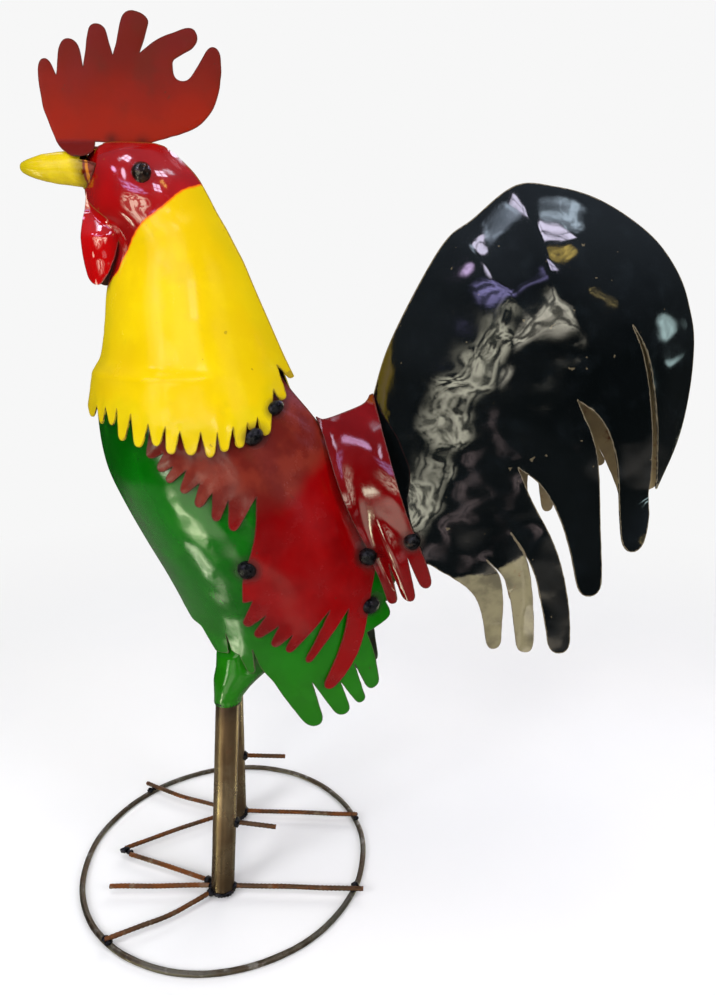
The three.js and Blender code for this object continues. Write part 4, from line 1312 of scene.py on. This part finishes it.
toes = [
    ("left_outer_toe", "left", 3, [(-46, -100), on_ring(LEFT_OUTER, 2)]),
    ("left_middle_toe", "left", 0, [(-121, -61)]),
    ("left_inner_toe", "left", 8, [(-67, -31), (-113, -15)]),
    ("left_back_toe", "left", 0, [on_ring(LEFT_BACK, 11)]),
    ("right_outer_toe", "right", 0, [(-79, 83), on_ring(RIGHT_OUTER, 13)]),
    ("right_inner_toe", "right", 0, [(-76, 20), (-122, -6)]),
    ("right_back_toe", "right", 0, [on_ring(RIGHT_BACK, 3)]),
]
toe_lines = {}
for k, (name, leg, clear, ends) in enumerate(toes):
    foot, hip = FEET[leg]
    c = on_axis(foot, hip, TOE_Z)
    away = unit(np.array(ends[0]) - c[:2])
    start = np.array([*(c[:2] + away * (AT_TUBE + clear)), TOE_Z])
    line = [start] + [np.array([x, y, TOE_Z]) for x, y in ends]
    toe_lines[name] = line
    pts, faces = sweep(line, 0.75, 20, ribbed(TOE_ROD / 2, k * 3.1), soft=14 if len(ends) > 1 else 0,
                       wander=0.9, seed=k)
    closed_mesh(name, pts, faces, [mat_rod], name, 50)
for leg, (z, tip) in SPURS.items():
    c = on_axis(*FEET[leg], z)
    start = (c[0] + AT_TUBE, c[1], z)
    pts, faces = sweep([start, tip], 0.75, 20, ribbed(TOE_ROD / 2, 40 + z), wander=0.5, seed=z)
    closed_mesh(leg + "_spur", pts, faces, [mat_rod], leg + "_spur", 50)


def turned(profile, foot, hip, cols, wobble=None):
    """Rings of (radius, height along the axis) round a leg's axis."""
    a = np.array([*foot, LEG_FOOT_Z], float)
    b = np.array([*hip, LEG_TOP_Z], float)
    w = unit(b - a)
    u = unit(np.cross(w, [0, 1, 0]))
    v = np.cross(w, u)
    pts = []
    for r, h in profile:
        for j in range(cols):
            q = 2 * math.pi * j / cols
            rr = r + (wobble(h, q) if wobble else 0)
            pts.append(a + w * h + rr * (math.cos(q) * u + math.sin(q) * v))
    return np.array(pts)


for leg, side in SIDES:
    foot, hip = FEET[leg]
    long = math.dist((*foot, LEG_FOOT_Z), (*hip, LEG_TOP_Z))
    hs = list(np.linspace(0, long, 60))
    prof = [(LEG_R, h) for h in hs] + [(LEG_R - LEG_WALL, h) for h in hs[::-1]]
    k = 0.0 if side < 0 else 5.0
    pts = turned(prof, foot, hip, 40,
                 lambda h, q: 0.16 * drift(h * 0.03, math.cos(q) * 0.8 + k, math.sin(q) * 0.8))
    faces = grid_faces(len(prof), 40, closed=True)
    closed_mesh(leg + "_leg", pts, faces, [mat_tube], leg + "_leg", 30)

body_poly = to_seam(outline(body_line, pitch=3.5, rough=0), body_form)
thigh_rows = np.array([
    [THIGH_LOW, 13.2, 13.2, 0], [231, 13.8, 13.6, 0.4], [236, 15.5, 15.0, 2], [244, 18.6, 16.8, 4.6],
    [252, 22.5, 18.0, 8], [266, 28.5, 20.0, 16], [284, 33.0, 21.0, 20.5], [THIGH_HIGH, 35.0, 21.0, 23],
])
THIGH_COLS = 72


def thigh(leg, side):
    """A sheet rolled close round the tube and flared back above it, with a few flat hammered faces."""
    foot, hip = FEET[leg]
    a = np.array([*foot, LEG_FOOT_Z], float)
    w = unit(np.array([*hip, LEG_TOP_Z], float) - a)
    hs = np.linspace(THIGH_LOW, THIGH_HIGH, 44)
    rings = []
    for wall, order in ((SHEET, hs), (0.0, hs[::-1])):
        for h in order:
            long, wide, back = (np.interp(h, thigh_rows[:, 0], thigh_rows[:, k]) for k in (1, 2, 3))
            grow = min(1, (h - THIGH_LOW) / 14)
            for j in range(THIGH_COLS):
                q = 2 * math.pi * j / THIGH_COLS
                # hammered flats: the section is drawn a little towards a polygon
                facet = 1 - 0.045 * grow * (1 - abs(math.cos(3.5 * q + 0.4 + h * 0.012)))
                facet += 0.03 * grow * drift(h * 0.05, math.cos(q) * 1.4, math.sin(q) * 1.4 + side)
                rings.append((a[0] + w[0] * h + back + (long * facet + wall) * math.cos(q),
                              a[1] + w[1] * h + (wide * facet + wall) * math.sin(q), a[2] + w[2] * h))
    pts = np.array(rings)
    # where it runs up inside the body it is pressed in behind the sheet
    count = len(hs) * THIGH_COLS
    layer = np.concatenate([np.zeros(count), np.full(count, SHEET)])
    most = body_form(pts[:, 0], pts[:, 2]) - 1.6 - layer
    y = pts[:, 1] * side
    sign = np.where(inside(body_poly, pts[:, [0, 2]]), 1, -1)
    k = gentle((sign * edge_distance(body_poly, pts[:, [0, 2]]) + 5) / 5)
    y = np.where(y > most, y * (1 - k) + most * k, y)
    pts[:, 1] = y * side
    faces = grid_faces(2 * len(hs), THIGH_COLS, closed=True)
    closed_mesh(leg + "_thigh", pts, faces, [mat_green], leg + "_thigh", 40)


for leg, side in SIDES:
    thigh(leg, side)


def dome(name, x0, z0, size, cover, side, seed, tall=0.42, metal=mat_weld):
    """A drop of weld metal run out on the sheet: a round cap with a thin uneven skirt."""
    cols, rows = 36, 14
    pts = []
    ups = []
    dx, dz = slope(cover, np.array([x0]), np.array([z0]))
    n = unit(np.array([-dx[0], 1.0, -dz[0]]))
    r0 = size / 2
    for i in range(rows):
        f = i / (rows - 1)
        for j in range(cols):
            q = 2 * math.pi * j / cols
            lobes = 1 + 0.09 * drift(math.cos(q) * 1.3 + seed, math.sin(q) * 1.3, seed)
            u = f * r0 * 1.08 * lobes
            x, z = x0 + u * math.cos(q), z0 + u * math.sin(q)
            h = size * tall * max(0.0, 1 - min(f, 1) ** 2.3) ** 0.62
            h *= 1 + 0.1 * drift(x * 0.3, z * 0.3, seed)
            skirt = 0.5 if f < 0.97 else -0.6
            pts.append((x, 0.0, z))
            ups.append(h + skirt)
    pts = np.array(pts)
    pts[:, 1] = cover(pts[:, 0], pts[:, 2]) + 0.1
    pts += n * np.array(ups)[:, None]
    pts[:, 1] *= side
    faces = grid_faces(rows, cols)
    faces.append(tuple(range((rows - 1) * cols, rows * cols)))
    closed_mesh(name, pts, faces, [metal], name, 60)


def eye_metal():
    m = Mat("eye_weld", Coat_Weight=0.8, Coat_Roughness=0.05, Coat_IOR=1.5)
    n = m.noise(190, 4, 0.6)
    col = m.mix(m.ramp(n, 0.4, 0.62), lin(20, 15, 14), lin(52, 34, 24))
    col = m.mix(m.ramp(m.noise(330, 2), 0.62, 0.72), col, lin(126, 80, 46))
    return m.done(col, m.ramp(n, 0.3, 0.7, 0.14, 0.3), 0.5, m.bump(n, 0.25, 0.001))


mat_eye = eye_metal()
for word, side in SIDES:
    for k, (name, (wx, wz, size, cover)) in enumerate(welds.items()):
        dome(f"{name}_{word}", wx, wz, size, cover, side, k + (0 if side < 0 else 20.5))
    dome("eye_" + word, -31, 740, 16, neck_out, side, 3.3 * side + 8, 0.4, mat_eye)


def lump(name, at, size, seed, axis, metal=mat_weld):
    """A weld bead: a rough drop stretched along an axis; size is (along, across, up)."""
    cols, rows = 22, 14
    a = unit(np.array(axis, float))
    up = np.array([0, 0, 1.0]) if abs(a[2]) < 0.8 else np.array([0, 1.0, 0])
    b = unit(np.cross(up, a))
    c = np.cross(a, b)
    pts = []
    for i in range(rows):
        th = math.pi * i / (rows - 1)
        for j in range(cols):
            ph = 2 * math.pi * j / cols
            d = np.array([math.cos(th), math.sin(th) * math.cos(ph), math.sin(th) * math.sin(ph)])
            k = 1 + 0.2 * drift(*(d * 1.5 + seed)) + 0.1 * drift(*(d * 4 + seed))
            k *= 1 + 0.05 * math.cos(d[0] * 9 + seed)
            p = np.array(at, float) + k * (a * d[0] * size[0] + b * d[1] * size[1] + c * d[2] * size[2]) / 2
            p[2] = max(p[2], FLOOR_Z + 0.2)
            pts.append(p)
    closed_mesh(name, np.array(pts), grid_faces(rows, cols), [metal], None, 60)


def collar(name, leg, h, r, seed):
    """Bead of weld round a leg tube, in short overlapping runs."""
    foot, hip = FEET[leg]
    ring = turned([(LEG_R + 0.2, h)], foot, hip, 48)

    def beads(s, q):
        return r * (1 + 0.18 * math.cos(2 * math.pi * s / 3.1) + 0.35 * drift(s * 0.12, seed, 0))

    pts, faces = sweep(list(ring), 0.9, 14, beads, closed=True)
    pts[:, 2] = np.maximum(pts[:, 2], FLOOR_Z + 0.2)
    closed_mesh(name, pts, faces, [mat_weld], None, 60)


# toes to hoop, toes to tubes, spurs to tubes, tubes to hoop
spots = []
for name, line in toe_lines.items():
    d = line[1] - line[0]
    spots.append((line[0] - unit(d) * 1.5, (9, 9.5, 8), d))
for bearing in (LEFT_OUTER, LEFT_BACK, RIGHT_OUTER, RIGHT_BACK):
    a = math.radians(bearing)
    at = np.array([*on_ring(bearing), FLOOR_Z + RING_ROD + 0.6])
    tangent = np.array([-math.sin(a), math.cos(a), 0])
    spots.append((at + tangent * 3.4, (9, 7, 6), (math.cos(a), math.sin(a), 0)))
    spots.append((at - tangent * 3.2, (7, 6, 5.4), (math.cos(a), math.sin(a), 0)))
spots.append((np.array([-121, -9, TOE_Z + 0.3]), (11, 7, 6.5), (1, 0.3, 0)))
spots.append((np.array([-114, -12, TOE_Z]), (8, 6, 5), (1, 0.1, 0)))
for leg, (z, _) in SPURS.items():
    c = on_axis(*FEET[leg], z)
    spots.append((np.array([c[0] + LEG_R + 0.8, c[1], z]), (7, 11, 11), (1, 0, 0)))
for k, (at, size, axis) in enumerate(spots):
    lump(f"joint_weld_{k + 1}", at, size, k * 1.7, axis)
for k, leg in enumerate(("left", "right")):
    collar(f"{leg}_foot_weld", leg, 2.6, 2.1, k * 5.0)
    collar(f"{leg}_thigh_weld", leg, THIGH_LOW, 1.6, k * 5.0 + 2)
pts, faces = sweep(beak_root, 0.9, 12, lambda s, q: 0.9 + 0.5 * drift(s * 0.3, 4.0, 2.0), closed=True)
closed_mesh("beak_weld", pts, faces, [mat_beak], None, 60, scorched=0.5)
lump("beak_weld_end", (-87.5, -14.5, 742.5), (5, 4, 7), 3.1, (0, 0, 1), mat_beak)

# Floor, light and camera
PALE = lin(247, 247, 247)
me = bpy.data.meshes.new("floor")
corners = [(x * FLOOR_HALF, y * FLOOR_HALF, 0) for x, y in ((-1, -1), (1, -1), (1, 1), (-1, 1))]
me.from_pydata(corners, [], [(0, 1, 2, 3)])
floor = linked("floor", me)
fm = Mat("floor_paper")
fn = fm.noise(2.0, 3)
fm.done(fm.mix(fm.ramp(fn, 0.3, 0.7), lin(238, 238, 238), lin(242, 241, 240)),
        fm.ramp(fm.noise(30), 0.3, 0.7, 0.62, 0.7))
# far from the object the paper has the even tone of the background
glow = fm.t.nodes.new("ShaderNodeEmission")
glow.inputs["Color"].default_value = PALE
blend = fm.t.nodes.new("ShaderNodeMixShader")
flat_x = fm.math("POWER", fm.axis(0), 2.0)
flat_y = fm.math("POWER", fm.axis(1), 2.0)
fm.link(fm.ramp(fm.math("SQRT", fm.add(flat_x, flat_y)), 0.35, 1.5), blend.inputs[0])
fm.link(fm.b.outputs[0], blend.inputs[1])
fm.link(glow.outputs[0], blend.inputs[2])
fm.link(blend.outputs[0], fm.out.inputs[0])
me.materials.append(fm.m)
floor.visible_glossy = False  # the gloss mirrors the room below, not the paper

world = bpy.data.worlds.new("studio")
bpy.context.scene.world = world
world.use_nodes = True


class Room(Mat):
    """The same short calls on the world's tree; coordinates are the direction that is looked in."""

    def __init__(self, tree):
        self.t = tree
        tree.nodes.clear()
        self.out = tree.nodes.new("ShaderNodeOutputWorld")
        self.co = tree.nodes.new("ShaderNodeTexCoord").outputs["Generated"]

    def background(self, color, strength=1.0):
        n = self.t.nodes.new("ShaderNodeBackground")
        self.put(n.inputs["Color"], color)
        n.inputs["Strength"].default_value = strength
        return n

    def choose(self, fac, a, b):
        n = self.t.nodes.new("ShaderNodeMixShader")
        self.link(fac, n.inputs[0])
        self.link(a.outputs[0], n.inputs[1])
        self.link(b.outputs[0], n.inputs[2])
        return n


room = Room(world.node_tree)
bearing = room.math("DEGREES", room.math("ARCTAN2", room.axis(0), room.mul(room.axis(1), -1.0)))
# behind the object the room is the front of it turned about
behind = room.math("GREATER_THAN", room.math("ABSOLUTE", bearing), 112.0)
turned_by = room.mul(room.mul(room.math("SIGN", bearing), 180.0), behind)
bearing = room.sub(bearing, turned_by)
height = room.math("DEGREES", room.math("ARCSINE", room.axis(2)))
wrapped = room.t.nodes.new("ShaderNodeCombineXYZ")
room.link(room.math("DIVIDE", bearing, 10.0), wrapped.inputs[0])
room.link(room.math("DIVIDE", height, 3.6), wrapped.inputs[1])
room.co = wrapped.outputs[0]
leaves = room.noise(1.0, 1.5, 0.5)
blots = room.noise(2.1, 1, 0.5, offset=(3, 1, 2))
tone = room.mix(room.ramp(height, -10, 70), (0.012, 0.014, 0.013, 1), (0.10, 0.12, 0.15, 1))
tone = room.mix(room.ramp(height, -19, -27), tone, (0.16, 0.15, 0.135, 1))
# what the gloss mirrors: bearing and height in degrees, half width, half height, light, mottling, panes
PATCHES = (
    (-24, 6, 27, 15, (3.8, 3.7, 2.9), 0.98, False),
    (10, 6, 12, 9, (4.6, 4.4, 3.6), 0.9, False),
    (-2, -15, 14, 4, (0.8, 0.62, 0.62), 0.9, False),
    (-24, 27, 25, 7, (2.2, 2.0, 4.2), 0.9, False),
    (70, 62, 15, 6, (3.2, 3.9, 4.6), 0.75, False),
    (-54, 60, 8, 4, (3.0, 3.6, 4.4), 0.7, False),
    (38, 46, 7, 5, (4.2, 3.1, 0.8), 0.9, False),
    (43, 24, 6, 4, (3.2, 2.5, 1.0), 0.9, False),
    (88, 8, 10, 2.4, (2.2, 3.0, 3.0), 0.4, False),
    (90, 0, 10, 1.6, (1.6, 2.2, 2.2), 0.2, False),
    (-44, 67, 10, 4.5, (6.0, 5.6, 7.2), 0.0, True),
    (-37, 41, 4, 9, (5.0, 4.6, 6.0), 0.0, False),
    (44, 59, 13, 5, (6.0, 5.6, 7.2), 0.0, True),
    (22, 40, 7, 4, (5.0, 4.6, 6.4), 0.0, True),
    (-56, 37, 7, 5, (5.2, 3.8, 6.4), 0.3, False),
    (-58, -31, 9, 8, (11.0, 11.5, 7.5), 0.85, False),
    (-76, -43, 11, 4, (9.5, 10.0, 7.0), 0.8, False),
    (-57, -14, 6, 6, (9.0, 9.2, 7.0), 0.8, False),
    (-36, -25, 20, 11, (1.5, 1.36, 1.1), 0.0, False),
    (8, -35, 14, 9, (0.7, 0.62, 0.5), 0.0, False),
)
for az, el, wide, high, light_color, mottle, panes in PATCHES:
    across = room.math("DIVIDE", room.math("ABSOLUTE", room.sub(bearing, float(az))), wide)
    down = room.math("DIVIDE", room.math("ABSOLUTE", room.sub(height, float(el))), high)
    if panes:
        f = room.mul(room.ramp(across, 1.0, 0.93), room.ramp(down, 1.0, 0.93))
        f = room.mul(f, room.ramp(across, 0.05, 0.11))
        f = room.mul(f, room.ramp(down, 0.05, 0.11))
    else:
        away = room.math("SQRT", room.add(room.math("POWER", across, 2.0), room.math("POWER", down, 2.0)))
        f = room.ramp(away, 1.1, 0.45)
    if mottle:
        gaps = room.mul(room.ramp(leaves, 0.44, 0.51), room.ramp(blots, 0.40, 0.47, 0.12, 1.0))
        f = room.mul(f, room.add(room.mul(gaps, mottle), 1 - mottle))
    tone = room.mix(f, tone, (*light_color, 1))
ray = room.t.nodes.new("ShaderNodeLightPath").outputs
soft = room.background((0.62, 0.64, 0.68, 1), 0.38)
in_gloss = room.background(tone)
seen = room.background(PALE)
pick = room.choose(ray["Is Glossy Ray"], soft, in_gloss)
pick = room.choose(ray["Is Camera Ray"], pick, seen)
room.link(pick.outputs[0], room.out.inputs[0])


def area(name, at, aim, size, power, color=(1, 1, 1)):
    """A soft panel; places in ring-centred millimetres, size in metres."""
    light = bpy.data.lights.new(name, "AREA")
    light.shape = "RECTANGLE"
    light.size, light.size_y = size
    light.energy = power
    light.color = color
    ob = linked(name, light)
    ob.visible_glossy = False
    ob.visible_camera = False
    p, q = (Vector(v) for v in place([at, aim]))
    ob.location = p
    ob.rotation_euler = (q - p).to_track_quat("-Z", "Y").to_euler()


area("window_left", (-1500, -1500, 1500), (0, 0, 450), (0.9, 1.2), 30, (0.95, 0.96, 1.0))
area("window_front", (100, -2300, 2100), (100, 0, 450), (1.5, 0.9), 31, (1.0, 0.98, 0.96))
area("window_right", (1900, -1100, 1300), (250, 0, 450), (0.8, 1.3), 22, (0.9, 0.88, 1.0))
area("sky", (100, 0, 2900), (100, 0, 0), (2.2, 1.8), 30, (1, 1, 1))
area("back", (300, 2000, 1500), (150, 0, 400), (1.6, 1.0), 16, (1.0, 0.98, 0.95))

cam = bpy.data.cameras.new("camera")
cam.lens = CAMERA_LENS
cam.sensor_width = 36
cam.sensor_fit = "AUTO"
cam.clip_start = 0.01
cam.dof.use_dof = False
cam_ob = linked("camera", cam)
cam_ob.location = tuple(place([CAMERA_AT])[0])
cam_ob.rotation_euler = (math.radians(90 - CAMERA_DOWN), 0, 0)
bpy.context.scene.camera = cam_ob
bpy.context.scene.view_settings.view_transform = "Standard"
